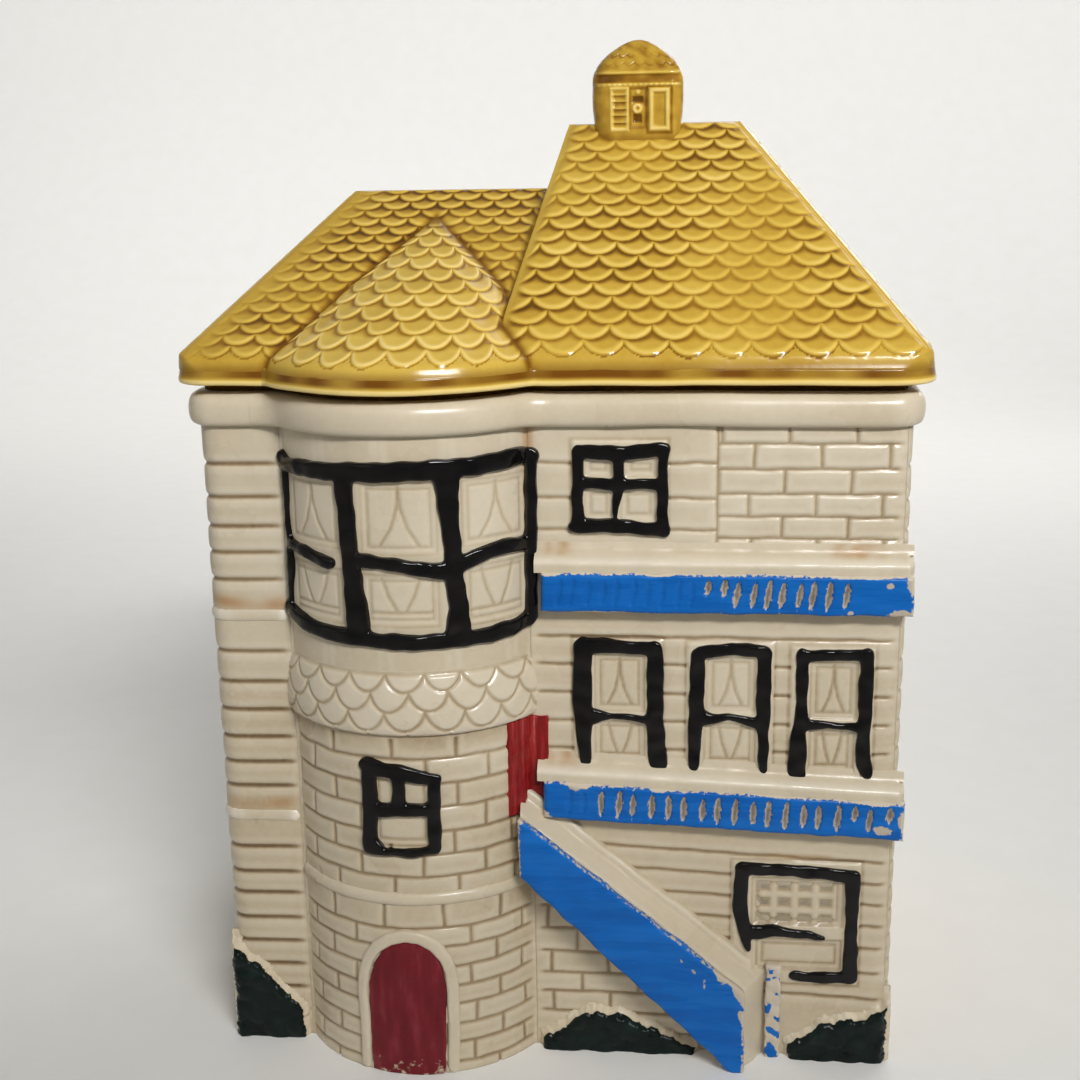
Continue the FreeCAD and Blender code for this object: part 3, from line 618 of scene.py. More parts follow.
def paneRelief(a, z, pane, height, rise):
    left, right, bottom, top, curtain = pane
    inside = boxGap(a, z, pane)
    sunk = ease(-0.5, 0.5, inside)
    half = (right - left) / 2
    drawn = 0.8 * bump(inside - 1.7, 0.1, 0.7)
    for fold in curtains.get(curtain, []):
        places = [(left + half + share * (half - 1.7), bottom + 1.2 + level * (top - bottom - 2.4))
                  for share, level in fold]
        for start, end in zip(places, places[1:]):
            drawn = np.maximum(drawn, fade(0.1, 0.75, lineGap(a, z, start, end)))
    cut = drawn * ease(0.0, 0.4, inside)
    height = height * (1 - sunk) + (0.5 - 0.38 * cut) * sunk
    wall = bump(inside, 0.0, 0.9)
    rise = np.where(inside > 0, 0.58 - 0.26 * cut, rise) - 0.2 * wall * (inside > -0.3)
    return height, rise


# the plain cast jar: inside, floor and rim seat
addPiece(castCopy("jar_shell"), "jarCast", *creamJar, ["jar_shell"], sharp=35,
         tint=lambda spots, rise: {"rise": rise})

boards = {
    "lines": [7.6, 15.1, 22.6, 30.1, 37.6, 45.6, 52.3, 60.2, 79.2, 86.5, 94.1, 102.3, 110.6, 119.5,
              140.2, 147.9, 155.3, 163.5, 172.7],
    "stains": [72.8, 132.8],
    "pitch": (2.0, 0.5),
}


def carveBoards(s, z):
    sag = 0.6 * uneven(s, z * 0.2, 30.0, 3.1)
    gap = courseGap(z + sag, boards["lines"])[0]
    ends = ease(0.4, 3.0, np.minimum(s - wingEnd, wallPath["total"] - s))
    cut = groove(gap, 1.15) * ends
    worn = fade(0.3, 3.0, gap)
    height = house["skin"] - 0.6 * cut - 0.14 * worn * ends + 0.12 * uneven(s, z, 7.0, 1.0)
    stain = sum(bump(z - mark - 0.8, 0.0, 3.6) for mark in boards["stains"])
    stain = stain * np.clip(0.45 + 0.9 * uneven(s, z, 9.0, 5.0), 0, 1)
    rise = 0.5 - 0.46 * cut + 0.1 * bump(gap - 1.5, 0.4, 2.2)
    return height, {"rise": rise, "stain": stain}


addPiece(wallSheet(wallPath, (wingEnd, wallPath["total"]), wallLevels, boards["pitch"], carveBoards),
         "boardedWalls", *creamJar)

tower = {
    "upper": {"courses": [60.8, 67.3, 74.2, 81.3, 88.2, 95.4], "length": 17.6, "shift": 3.3},
    "lower": {"courses": [3.0, 9.1, 15.0, 21.1, 27.0, 33.1, 39.3, 45.1], "length": 16.6, "shift": 7.2},
    "split": 54.0,  # the string course lies between the two
    "brickTop": 101.5,
    "window": (-8.6, 7.4, 70.4, 91.0, None),
    "bayPanes": [
        (-34.8, -14.6, 153.2, 171.8, "parted"), (-34.8, -14.6, 133.0, 147.6, "gathered"),
        (-8.4, 11.6, 152.6, 171.6, "parted"), (-8.4, 11.6, 133.0, 147.0, "gathered"),
        (18.2, 38.2, 153.8, 171.6, "parted"), (18.2, 38.2, 132.4, 148.4, "gathered"),
    ],
    "pitch": (0.5, 0.5),
}


def carveTower(s, z):
    a = s - drumMiddle
    waver = 0.3 * uneven(a, z, 6.0, 4.2)
    high, tone = brickGap(a + waver, z + waver, tower["upper"])
    low, lowTone = brickGap(a + waver, z + waver, tower["lower"])
    above = z > tower["split"]
    gap = np.where(above, high, low)
    tone = np.where(above, tone, lowTone)
    ends = ease(0.5, 3.5, np.minimum(s, wingStart - s))
    cut = groove(gap) * ends * (z < tower["brickTop"])
    height = house["skin"] - 0.58 * cut + 0.12 * uneven(a, z, 5.0, 2.0) + 0.08 * tone
    # painted shadow: the last term darkens the band of wall just under the skirt
    rise = 0.52 - 0.3 * cut + 0.05 * tone - 0.14 * ease(97.0, 102.0, z) * (z < 104)
    rise = rise + 0.08 * bump(gap - 1.3, 0.3, 1.8)
    for pane in tower["bayPanes"] + [tower["window"]]:
        height, rise = paneRelief(a, z, pane, height, rise)
    drip = bump(s - wingStart, 0.5, 3.0) * ease(150.0, 176.0, z)
    return height, {"rise": rise, "stain": 0.6 * drip}


addPiece(wallSheet(wallPath, (0.0, wingStart), wallLevels, tower["pitch"], carveTower),
         "towerWall", *creamJar)

wing = {
    "start": 33.54,  # right of the tower's middle
    "atticFoot": 146.0,
    "groundTop": 75.0,
    "siding": [155.3, 164.0, 173.5],
    "panelJoint": 45.0,
    "panel": {"courses": [153.3, 159.2, 165.4, 172.0, 178.7], "length": 17.4, "shift": 15.7},
    "middleLines": [92.8, 101.0, 109.2, 117.4, 125.3],
    "groundLines": [20.4, 28.6, 36.3, 43.1, 49.7, 56.2, 62.7],
    "groundFall": (0.043, 40.0),  # per millimetre, from this place on
    "stair": {"courses": [4.5, 10.9, 17.4, 23.3, 30.2, 37.4, 44.5], "length": 16.4, "shift": 1.0},
    "underStair": (-8.6, 54.0, 0.99),  # place, height and fall of the slope over these bricks
    "borders": [(6.4, 31.6, 154.4, 179.6), (6.4, 30.4, 86.0, 124.8), (37.4, 60.6, 86.0, 124.0),
                (65.4, 87.6, 84.0, 123.4), (50.6, 86.0, 23.0, 60.2)],
    "panes": [
        (9.6, 17.0, 169.9, 175.0, None), (20.4, 28.8, 169.9, 175.0, None),
        (9.6, 17.2, 158.0, 166.8, None), (19.4, 28.8, 158.0, 166.8, None),
        (12.0, 25.8, 104.0, 120.4, "parted"), (12.0, 26.0, 88.0, 101.2, "gathered"),
        (42.6, 55.8, 104.2, 120.2, "parted"), (42.2, 56.2, 87.0, 101.2, "gathered"),
        (70.6, 83.2, 103.0, 119.2, "parted"), (70.8, 82.8, 86.0, 100.0, "gathered"),
        (56.0, 81.6, 40.8, 55.4, None), (57.6, 81.4, 27.4, 36.6, None),
    ],
    "lattice": {"left": 57.2, "bottom": 41.2, "step": (5.8, 4.8), "count": (4, 3), "edge": 1.7},
    "stains": [(80.0, 150.5, 9.0, 2.6), (3.0, 150.0, 4.0, 2.0), (8.0, 89.8, 5.0, 1.8),
               (70.0, 62.0, 14.0, 1.4)],
    "pitch": (0.5, 0.5),
}


def carveWing(s, z):
    x = s - wingStart + house["towerX"] + wing["start"]
    waver = 0.3 * uneven(x, z, 6.0, 6.4)
    siding = courseGap(z + waver, wing["siding"])[0]
    siding = np.minimum(siding, np.abs(x + waver - wing["panelJoint"]))
    panel, tone = brickGap(x + waver, z + waver, wing["panel"])
    middle = courseGap(z + waver, wing["middleLines"])[0]
    fall, level = wing["groundFall"]
    ground = courseGap(z + waver + fall * (x - level), wing["groundLines"])[0]
    brick, brickTone = brickGap(x + waver, z + waver, wing["stair"])
    place, top, slope = wing["underStair"]
    underStair = z < top - slope * (x - place)
    low = z < wing["groundTop"]
    gap = np.where(x > wing["panelJoint"], panel, siding)
    gap = np.where(z < wing["atticFoot"], middle, gap)
    gap = np.where(low, np.where(underStair, brick, ground), gap)
    tone = np.where(z > wing["atticFoot"], tone * (x > wing["panelJoint"]), brickTone * underStair * low)
    ends = ease(0.5, 3.0, np.minimum(s - wingStart, wingEnd - s))
    cut = groove(gap) * ends
    height = house["skin"] - 0.55 * cut + 0.12 * uneven(x, z, 5.0, 9.0) + 0.08 * tone
    rise = 0.52 - 0.34 * cut + 0.05 * tone + 0.08 * bump(gap - 1.3, 0.3, 1.8)
    for border in wing["borders"]:
        inside = boxGap(x, z, border)
        proud = ease(-0.4, 0.5, inside)
        height = height * (1 - proud) + 1.25 * proud
        rise = np.where(inside > -0.2, 0.6, rise) - 0.2 * bump(inside + 0.5, 0.0, 0.8)
    for pane in wing["panes"]:
        height, rise = paneRelief(x, z, pane, height, rise)
    lattice = wing["lattice"]
    wide, tall = lattice["step"]
    for column in range(lattice["count"][0]):
        for row in range(lattice["count"][1]):
            left = lattice["left"] + column * wide
            bottom = lattice["bottom"] + row * tall
            cell = (left, left + wide - lattice["edge"], bottom, bottom + tall - lattice["edge"])
            sunk = ease(-0.4, 0.5, boxGap(x, z, cell))
            height, rise = press(height, rise, sunk, -0.5, -0.24)
    stain = bump(s - wingStart, 0.5, 2.5) * ease(150.0, 176.0, z) * 0.6
    for spotX, spotZ, wide, tall in wing["stains"]:
        reach = np.hypot((x - spotX) / wide, (z - spotZ) / tall)
        stain = np.maximum(stain, fade(0.2, 1.0, reach) * (0.4 + 0.3 * uneven(x, z, 4.0, 12.0)))
    return height, {"rise": rise, "stain": stain}


addPiece(wallSheet(wallPath, (wingStart, wingEnd), wallLevels, wing["pitch"], carveWing),
         "wingWall", *creamJar)

# rolled rim: a soft bead all round, easing through the creases beside the tower
rim = {
    "proud": 4.0,
    "crease": 12.0,
    "pitch": 1.2,
    "steps": 40,
    "section": [(-0.6, 183.6), (0.0, 186.0), (0.0, 189.0), (-0.8, 191.6), (-2.6, 192.6), (-6.0, 192.6),
                (-9.8, 192.56), (-9.8, 190.0), (-5.2, 188.0), (-5.2, 183.5), (-3.4, 183.3)],
}
addPiece(sweep(planPath(rim["proud"], rim["crease"]), rim["section"], rim["pitch"], rim["steps"],
               vary=handMade((0.3, 14.0, 5.5), (0.3, 24.0, 2.5), -0.2)),
         "rolledRim", *creamJar, ["rim_roll"], gain=1.2)

# bands: two rolled mouldings over the ends and the back
bands = {
    "levels": {"upper_band": 130.1, "lower_band": 70.1},
    "profile": [(0.3, -2.1), (1.1, -1.7), (1.4, 0.0), (1.0, 1.7), (0.2, 2.1), (-0.6, 1.6), (-0.6, -1.6)],
    "span": (wingEnd + 3.2, wallPath["total"] + 0.6),
}
for node, level in bands["levels"].items():
    bandSection = [(out, level + up) for out, up in bands["profile"]]
    addPiece(sweep(wallPath, bandSection, pitch=2.0, steps=24, span=bands["span"],
                   vary=handMade((0.12, 9.0, 2.2), (0.3, 22.0, 8.0))),
             camelName(node), *creamJar, [node], gain=1.2)

stringCourse = {"levels": (52.0, 56.5), "proud": 1.9, "span": (1.6, wingStart - 1.6)}
low, high = stringCourse["levels"]
stringSection = [(0.2, low), (1.4, low + 0.6), (stringCourse["proud"], (low + high) / 2), (1.4, high - 0.6),
                 (0.2, high), (-0.6, high - 1.0), (-0.6, low + 1.0)]
addPiece(sweep(wallPath, stringSection, pitch=0.8, steps=24, span=stringCourse["span"],
               vary=handMade((0.12, 7.0, 1.2), (0.35, 15.0, 3.0))),
         "towerStringCourse", *creamJar, ["tower_string_course"], gain=1.2)


# overlapping fish scales: rows counted upwards, each tail a shallow bow

def scaleEdge(a, lane, tile):
    across = tile["across"](a, lane) + (lane % 2) * 0.5 + 0.06 * np.sin(lane * 3.7 + 1.0)
    share = 2 * np.abs(across % 1.0 - 0.5)
    bow = np.sqrt(1 - tile["round"] * share ** 2)
    full = 1 - math.sqrt(1 - tile["round"])
    steep = tile["depth"] * tile["round"] * share / bow / full * 2 / tile["width"]
    return lane + tile["depth"] * (1 - bow) / full, steep


def scales(a, climb, row, tile):  # distance up from a scale's own tail and down from the tail above it
    lane = np.floor(climb)
    here, hereSteep = scaleEdge(a, lane, tile)
    under, underSteep = scaleEdge(a, lane - 1, tile)
    over, overSteep = scaleEdge(a, lane + 1, tile)
    hidden = climb < here
    inner = (climb - np.where(hidden, under, here)) * row
    cover = (np.where(hidden, here, over) - climb) * row
    inner = inner / np.hypot(1, row * np.where(hidden, underSteep, hereSteep))
    cover = cover / np.hypot(1, row * np.where(hidden, hereSteep, overSteep))
    return inner, cover, np.where(hidden, lane - 1, lane)


skirt = {
    "reach": 41.0,
    "levels": (102.5, 120.6),
    "lip": 1.6,
    "row": 5.5,
    "tile": {"across": lambda a, lane: a / 10.2 + 0.3, "width": 10.2, "depth": 0.92, "round": 0.8},
    "top": 17.2,
    "grid": (240, 54),
    "belly": [(0.0, 1.2), (0.35, 2.0), (0.9, 2.5), (2.2, 2.85), (5.0, 3.0), (9.0, 2.85), (13.0, 2.3),
              (16.0, 1.6), (18.1, 0.9)],
}


def carveSkirt(a, z):
    w = z - skirt["levels"][0]
    drift = 0.6 * uneven(a, z, 9.0, 2.7)
    climb = (w - skirt["lip"] + 0.4 * uneven(a, z, 12.0, 3.7)) / skirt["row"]
    inner, cover, lane = scales(a + drift, climb, skirt["row"], skirt["tile"])
    cut = fade(0.05, 0.85, np.minimum(inner, cover))
    cut = np.where((lane < 0) & (inner < cover), 0, cut)
    top = bump(w - skirt["top"], 0.2, 1.0)
    cut = np.maximum(cut * (w < skirt["top"]), 0.7 * top)
    height = np.interp(w, *np.array(skirt["belly"]).T) - 0.5 * cut + 0.12 * uneven(a, z, 4.0, 5.0)
    return height, {"rise": 0.6 - 0.34 * cut, "stain": 0.25 * fade(0.1, 0.7, inner + cover)}


def skirtShape(u, v, edge):
    a = skirt["reach"] * (2 * u - 1)
    z = skirt["levels"][0] + v * (skirt["levels"][1] - skirt["levels"][0])
    height, layers = carveSkirt(a, z)
    radius = house["towerRadius"] + np.where(edge, house["tuck"], height)
    turn = a / house["towerRadius"]
    x = house["towerX"] + radius * np.sin(turn)
    return np.stack([x, house["towerY"] - radius * np.cos(turn), z], 1), layers


addPiece(sheet(*skirt["grid"], skirtShape), "baySkirt", *creamJar, ["bay_skirt"], sharp=60)
print("walls ready")


# hand-painted frames: each stroke is (place along the wall, height, width)

def paintFrame(frameSet):
    bm = bmesh.new()
    for stroke in frameSet["strokes"]:
        addStroke(bm, stroke, front=frameSet["proud"], back=0.3)
    bm = fuse(bm, voxel=0.4, rounds=4)
    wobble(bm, size=4.5, amount=0.5, seed=frameSet["seed"])
    return toDrum(bm) if frameSet["round"] else toWall(bm)


frames = {
    "bay_window_frame": {"round": True, "proud": 2.3, "seed": 1.0, "strokes": [
        [(-38.4, 175.4, 4.2), (-34, 173.6, 4.6), (-18.8, 173.9, 5.2), (-5, 174.4, 5.6), (11, 174.8, 5.8),
         (24.7, 175.2, 5.4), (36.5, 176.0, 5.2), (40.6, 175.6, 5.0)],
        [(-36.2, 173.1, 2.0), (-36.1, 160.1, 1.9), (-35.2, 147.7, 2.1), (-37, 133.2, 2.8)],
        [(-12.7, 172.3, 5.9), (-12.1, 161.1, 5.0), (-11.7, 150.9, 5.0), (-10.8, 142, 5.8), (-9.9, 131, 7.2)],
        [(14.2, 172.3, 7.2), (14.5, 163.6, 5.8), (15.3, 153.4, 4.9), (15.6, 145.1, 5.2), (16.6, 137.3, 5.6),
         (16.0, 130.5, 7.6)],
        [(40.2, 174.0, 4.6), (40.0, 157.2, 4.2), (39.8, 144.2, 4.2), (40.0, 131.2, 4.6)],
        [(-38.2, 133.4, 4.0), (-32, 131.2, 4.4), (-24.5, 130.0, 4.6), (-11, 129.4, 4.8), (4.7, 128.6, 4.8),
         (20.2, 128.8, 4.8), (32, 129.4, 4.6), (40, 131.0, 4.2)],
        [(-35.1, 151.9, 3.0), (-25.9, 150.6, 3.6), (-17.8, 149.0, 3.4)],
        [(-9.6, 151.0, 4.0), (2.5, 149.6, 4.0), (13.1, 147.8, 4.8)],
        [(17.5, 149.6, 4.4), (24.1, 151.8, 4.2), (29.9, 152.4, 4.0), (39.2, 151.6, 4.2)],
    ]},
    "tower_window_frame": {"round": True, "proud": 2.2, "seed": 2.0, "strokes": [
        [(-10, 93.2, 4.2), (-0.9, 92.0, 4.8), (9.0, 89.8, 3.4)],
        [(-9.2, 93.6, 4.2), (-9.3, 77.5, 4.2), (-9.7, 69.0, 4.0)],
        [(8.5, 89.3, 3.6), (8.1, 78.3, 3.8), (8.4, 69.9, 3.6)],
        [(-0.8, 92.0, 4.0), (-1.1, 82.2, 4.2)],
        [(-9.2, 80.8, 4.0), (7.6, 81.2, 3.8)],
        [(-9.3, 68.4, 2.8), (-0.2, 68.4, 2.4), (8.2, 69.2, 2.6)],
        [(-8.2, 71.4, 2.2), (-6.6, 69.6, 2.2)],
    ]},
    "attic_window_frame": {"round": False, "proud": 2.2, "seed": 3.0, "strokes": [
        [(8.1, 176.8, 4.0), (19, 176.2, 4.6), (30.6, 177.6, 4.2)],
        [(8.1, 177.2, 3.4), (8.0, 166.5, 3.6), (7.8, 156.4, 3.4)],
        [(30.6, 178.0, 3.2), (30.5, 166.7, 3.2), (30.5, 155.2, 3.5)],
        [(7.2, 156.4, 3.8), (19, 156.6, 4.6), (30.9, 155.6, 4.0)],
        [(9.5, 168.4, 3.2), (19, 167.9, 3.5), (29.1, 168.0, 3.2)],
        [(18.8, 174.9, 3.0), (18.8, 168.7, 3.2), (18, 160, 1.9)],
    ]},
    "left_french_frame": {"round": False, "proud": 2.2, "seed": 4.0, "strokes": [
        [(8.8, 122.6, 5.6), (8.7, 106.6, 5.9), (9.4, 88.9, 3.8)],
        [(8.5, 122.8, 4.7), (18.2, 122.8, 4.6), (28.6, 122.4, 4.1)],
        [(28.6, 122.4, 5.1), (28.7, 104.8, 5.3), (29.1, 92.1, 5.9), (29.9, 87.8, 4.5)],
        [(11.8, 102.3, 4.5), (16.7, 102.7, 1.8), (25.9, 102.1, 2.2)],
    ]},
    "middle_french_frame": {"round": False, "proud": 2.2, "seed": 5.0, "strokes": [
        [(40.3, 121.2, 4.1), (40, 104.3, 4.6), (39.3, 88.2, 3.4)],
        [(40.7, 121.6, 3.8), (49.9, 122.8, 3.8), (58.1, 121.9, 4.1)],
        [(58.2, 121.5, 4.5), (58.2, 101.7, 4.1), (58.5, 87.9, 3.1)],
        [(42.6, 102.5, 4.2), (48.9, 103, 1.9), (56.5, 101.3, 3.0)],
    ]},
    "right_french_frame": {"round": False, "proud": 2.2, "seed": 6.0, "strokes": [
        [(68.4, 121.3, 3.8), (68.3, 104.9, 3.7), (67.7, 96, 5.2), (67.6, 86.4, 5.5)],
        [(68.4, 121.1, 3.5), (77.2, 121.3, 3.4), (85.6, 121.6, 3.5)],
        [(85.6, 121.6, 4.4), (85.4, 102.4, 4.1), (85.1, 93.5, 4.4), (86.2, 87.9, 4.5)],
        [(70.3, 101.3, 3.6), (75.8, 101.6, 1.9), (84, 100.9, 2.7)],
    ]},
    "garden_window_frame": {"round": False, "proud": 2.2, "seed": 7.0, "strokes": [
        [(53.1, 58.3, 4.4), (52.8, 46.7, 4.4), (54.4, 38.6, 4.4), (55.1, 33.3, 1.9)],
        [(53.1, 58.3, 4.1), (65.8, 58, 4.0), (83.9, 56.6, 4.2)],
        [(84, 56.6, 4.6), (84.1, 41.4, 4.0), (83.9, 26.2, 4.7)],
        [(68.5, 25.3, 3.5), (75.5, 25.1, 3.4), (84.2, 25.4, 4.2)],
        [(55, 38.2, 4.8), (62.6, 39.1, 3.7), (72.2, 38.5, 2.5), (76.6, 37.4, 1.2)],
    ]},
}
for node, frameSet in frames.items():
    name = camelName("painted_" + node)
    addPiece(paintFrame(frameSet), name, "jar", "black_glaze", blackEnamel, [node], gain=2.0)

towerDoor = {
    "outline": [(-12.0, 0.0), (-12.1, 26.1), (-11.4, 30.6), (-10.0, 34.4), (-7.7, 38.0), (-4.8, 40.6),
                (-1.0, 41.8), (2.6, 41.4), (5.8, 39.3), (8.2, 35.8), (9.6, 31.6), (10.0, 27.6),
                (9.5, 7.3), (8.8, 0.0)],
    "knocker": (-1.2, 32.0, 6.0),
    "arch": [(-13.6, 1.8, 3.4), (-13.7, 26.0, 3.5), (-13.1, 31.2, 3.6), (-11.5, 35.8, 3.7),
             (-8.8, 39.6, 3.8), (-5.2, 42.2, 3.9), (-1.0, 43.4, 4.0), (3.4, 42.8, 4.0), (7.2, 40.4, 4.0),
             (9.9, 36.4, 4.0), (11.4, 31.6, 3.9), (11.8, 26.0, 3.8), (11.4, 1.8, 3.6)],
}
bm = bmesh.new()
addPlate(bm, towerDoor["outline"], front=1.4, back=0.4)
addDisc(bm, towerDoor["knocker"], front=1.75, back=0.4)
bm = fuse(bm, voxel=0.45, rounds=4)
wobble(bm, size=5.0, amount=0.3, seed=8.0)
addPiece(toDrum(bm), "towerDoor", "jar", "maroon_glaze", maroonEnamel, ["tower_door"], gain=1.6,
         tint=lambda spots, rise: {"bare": 0.42 * fade(1.0, 16.0, spots[:, 2])})

bm = bmesh.new()
addStroke(bm, towerDoor["arch"], front=2.2, back=0.4)
bm = fuse(bm, voxel=0.45, rounds=5)
wobble(bm, size=9.0, amount=0.35, seed=9.0)
addPiece(toDrum(bm), "towerDoorArch", *creamJar, ["tower_door_arch"], gain=1.4)

terraceDoor = {"span": (29.8, 44.4), "levels": (75.0, 102.3), "proud": 1.7, "pitch": (0.4, 0.4)}


def carveTerraceDoor(s, z):
    height = np.full(len(s), terraceDoor["proud"]) + 0.25 * uneven(s, z * 0.15, 1.6, 4.0)
    foot = fade(0.0, 3.0, z - terraceDoor["levels"][0] + 1.5 * uneven(s, z * 0.1, 1.8, 2.0))
    return height, {"rise": 0.5 + 0.1 * uneven(s, z, 5.0, 6.0), "bare": 0.4 * foot}


doorSpan = [drumMiddle + mark for mark in terraceDoor["span"]]
bm = wallSheet(wallPath, doorSpan, terraceDoor["levels"], terraceDoor["pitch"], carveTerraceDoor)
wobble(bm, size=3.0, amount=0.4, seed=10.0)
addPiece(bm, "terraceDoor", "jar", "red_glaze", redEnamel, ["terrace_door"])
print("painted openings ready")


# ledges: a sill that rounds over at the front and fillets into the wall
ledgeSection = [(-4.2, 4.9), (-1.9, 4.95), (-1.0, 4.6), (-0.3, 3.7), (0.2, 2.6), (0.9, 1.8), (2.0, 1.2),
                (3.6, 0.85)]
ledgeLevels = (ledgeSection[0][0], ledgeSection[-1][0])
balconySpan = (-2.05, 96.55)
balconyTall = 11.0
ledgeSpan = (-3.8, 96.55)
ledges = {
    "upper_ledge": {"top": 148.5, "fall": 0.0, "stains": [(2.5, 5.0), (82.0, 10.0)]},
    "lower_ledge": {"top": 88.5, "fall": 4.0, "stains": [(3.0, 6.0)]},
}


def dropAlong(x, fall):
    return -fall * (x - balconySpan[0]) / (balconySpan[1] - balconySpan[0])


def carveLedge(x, w, ledge):
    height = np.interp(w, *np.array(ledgeSection).T)
    end = fade(0.0, 1.6, ledgeSpan[1] - x)
    height = height - 2.2 * end * (height > 2) + 0.22 * uneven(x, w, 6.0, 4.4)
    rise = 0.53 + 0.2 * bump(w + 1.0, 0.3, 1.4) - 0.1 * bump(w - 1.4, 0.0, 1.2)
    stain = sum(fade(0.2, 1.0, np.abs(x - spot) / wide) for spot, wide in ledge["stains"])
    stain = stain * ease(-0.6, 0.8, w) * np.clip(0.4 + 0.6 * uneven(x, w, 3.0, 7.0), 0, 1)
    return height, {"rise": rise, "stain": stain}


for node, ledge in ledges.items():
    bm = faceSheet(ledgeSpan, ledgeLevels, pitch=0.4, carve=lambda x, w: carveLedge(x, w, ledge),
                   line=lambda x: ledge["top"] + dropAlong(x, ledge["fall"]))
    addPiece(bm, camelName(node), *creamJar, [node], sharp=60)

# balconies: a blue board with slits scratched through to the clay and chipped edges
balconies = {
    "upper_balcony": {
        "bottom": 133.5, "fall": 0.0, "lean": 0.7, "seed": 13.0,
        "slits": (42.5, 4.0, 10), "covered": 10, "faint": [0, 1],
        # chips as (place, height above the foot, reach along, reach up)
        "chips": [(14.0, 0.0, 11.0, 0.9), (0.0, 11.0, 5.0, 1.4), (31.0, 11.0, 6.0, 0.8),
                  (83.0, 11.0, 13.0, 1.0), (96.0, 9.0, 2.6, 4.0), (93.0, 1.0, 5.0, 1.6),
                  (90.0, 8.6, 1.6, 1.2), (80.0, 1.2, 1.2, 1.0)],
    },
    "lower_balcony": {
        "bottom": 73.5, "fall": 4.0, "lean": 0.4, "seed": 14.0,
        "slits": (14.0, 4.6, 18), "covered": 2, "faint": [15, 17],
        "chips": [(7.5, 11.0, 5.0, 2.6), (-2.0, 1.0, 3.0, 2.0), (62.0, 11.0, 10.0, 0.6),
                  (88.0, 11.0, 9.0, 1.2), (91.0, 3.0, 4.0, 2.0), (96.0, 6.0, 1.8, 4.0),
                  (30.0, 10.6, 3.0, 0.8), (36.0, 0.0, 8.0, 0.5)],
    },
}


def carveBalcony(x, w, balcony):
    border = boxGap(x, w, (*balconySpan, 0.0, balconyTall))
    bend = np.clip(1 - border / 1.2, 0, 1)
    height = 6.0 - 1.2 * (1 - np.sqrt(1 - bend ** 2)) + 0.15 * uneven(x, w, 5.0, balcony["seed"])
    first, step, count = balcony["slits"]
    slot = np.clip(np.round((x - first) / step), -balcony["covered"], count - 1)
    faint = np.isin(slot, balcony["faint"])
    middle = np.where(faint, 7.4, 5.6)
    tall = np.where(faint, 2.2, 3.9) + 0.4 * np.sin(slot * 1.9)
    centre = first + slot * step + 0.35 * np.sin(slot * 2.3) + balcony["lean"] * (w - 5.5) / 5.5
    half = 1.1 * np.sqrt(np.clip(1 - ((w - middle) / tall) ** 2, 0, 1)) - 0.25
    gap = np.abs(x - centre) - half + 0.25 * uneven(x, w, 0.9, balcony["seed"] + 4)
    cut = fade(-0.5, 0.4, gap)
    core = fade(-0.75, -0.2, gap + 0.2 * uneven(x, w, 1.4, balcony["seed"] + 6))
    rim = bump(gap - 0.1, 0.15, 0.7)
    scratched = slot >= 0
    bare = np.maximum(0.95 * cut, 0.42 * rim) * scratched
    bare = np.maximum(bare, 0.42 * fade(0.1, 1.3, balconyTall - w))
    bare = np.maximum(bare, 0.34 * fade(0.1, 1.1, w))
    bare = np.maximum(bare, 0.4 * fade(0.5, 4.0, balconySpan[1] - x))
    for place, level, along, up in balcony["chips"]:
        reach = np.hypot((x - place) / along, (w - level) / up)
        bare = np.maximum(bare, 0.64 * fade(0.3, 1.3, reach))
    rise = 0.52 + 0.2 * bend - 0.32 * core * scratched
    return height - cut * np.where(scratched, 1.1, 0.35), {"rise": rise, "bare": bare}


for node, balcony in balconies.items():
    bm = faceSheet(balconySpan, (0.0, balconyTall), pitch=0.35,
                   carve=lambda x, w: carveBalcony(x, w, balcony),
                   line=lambda x: balcony["bottom"] + dropAlong(x, balcony["fall"]))
    wobble(bm, size=6.0, amount=0.35, seed=balcony["seed"])
    addPiece(bm, camelName(node), *blueJar, [node], sharp=60)


# the stair is a plain cast, softened as the mould left it

def softCast(node, voxel, rounds, size, amount, seed):
    return wobble(fuse(castCopy(node), voxel, rounds), size, amount, seed)


stair = {
    "left": (-8.57, 76.0),
    "right": (54.4, 25.0),
    "curb": (3.4, 5.6),  # how far it stands out, and above the parapet's line
    "streak": (43.0, 7.0),
    "chips": [(36.5, 5.0, 1.1), (40.0, 5.2, 1.2), (52.4, 1.6, 4.2), (47.5, 1.2, 2.6), (53.6, 8.0, 2.4)],
}
stairFall = (stair["left"][1] - stair["right"][1]) / (stair["right"][0] - stair["left"][0])


def stairLine(x):
    return stair["left"][1] - stairFall * (x - stair["left"][0])


def tintParapet(spots, rise):
    x, z = spots[:, 0], spots[:, 2]
    below = stairLine(x) - z
    top = fade(0.2, 1.5, below)
    end = fade(0.3, 2.6, stair["right"][0] - x)
    left = fade(0.2, 1.6, x - stair["left"][0])
    place, depth = stair["streak"]
    streak = bump(x - place, 0.3, 1.0) * bump(below - depth, 1.5, 3.5)
    chips = sum(fade(0.4, wide, np.hypot(x - spot, below - deep)) for spot, deep, wide in stair["chips"])
    bare = 0.45 * top + 0.5 * end + 0.5 * left + 0.5 * streak + 0.7 * chips
    return {"bare": np.clip(bare, 0, 1), "rise": rise}


addPiece(softCast("stair_parapet", voxel=0.45, rounds=4, size=6.0, amount=0.5, seed=15.0),
         "stairParapet", *blueJar, ["stair_parapet"], gain=1.6, tint=tintParapet)

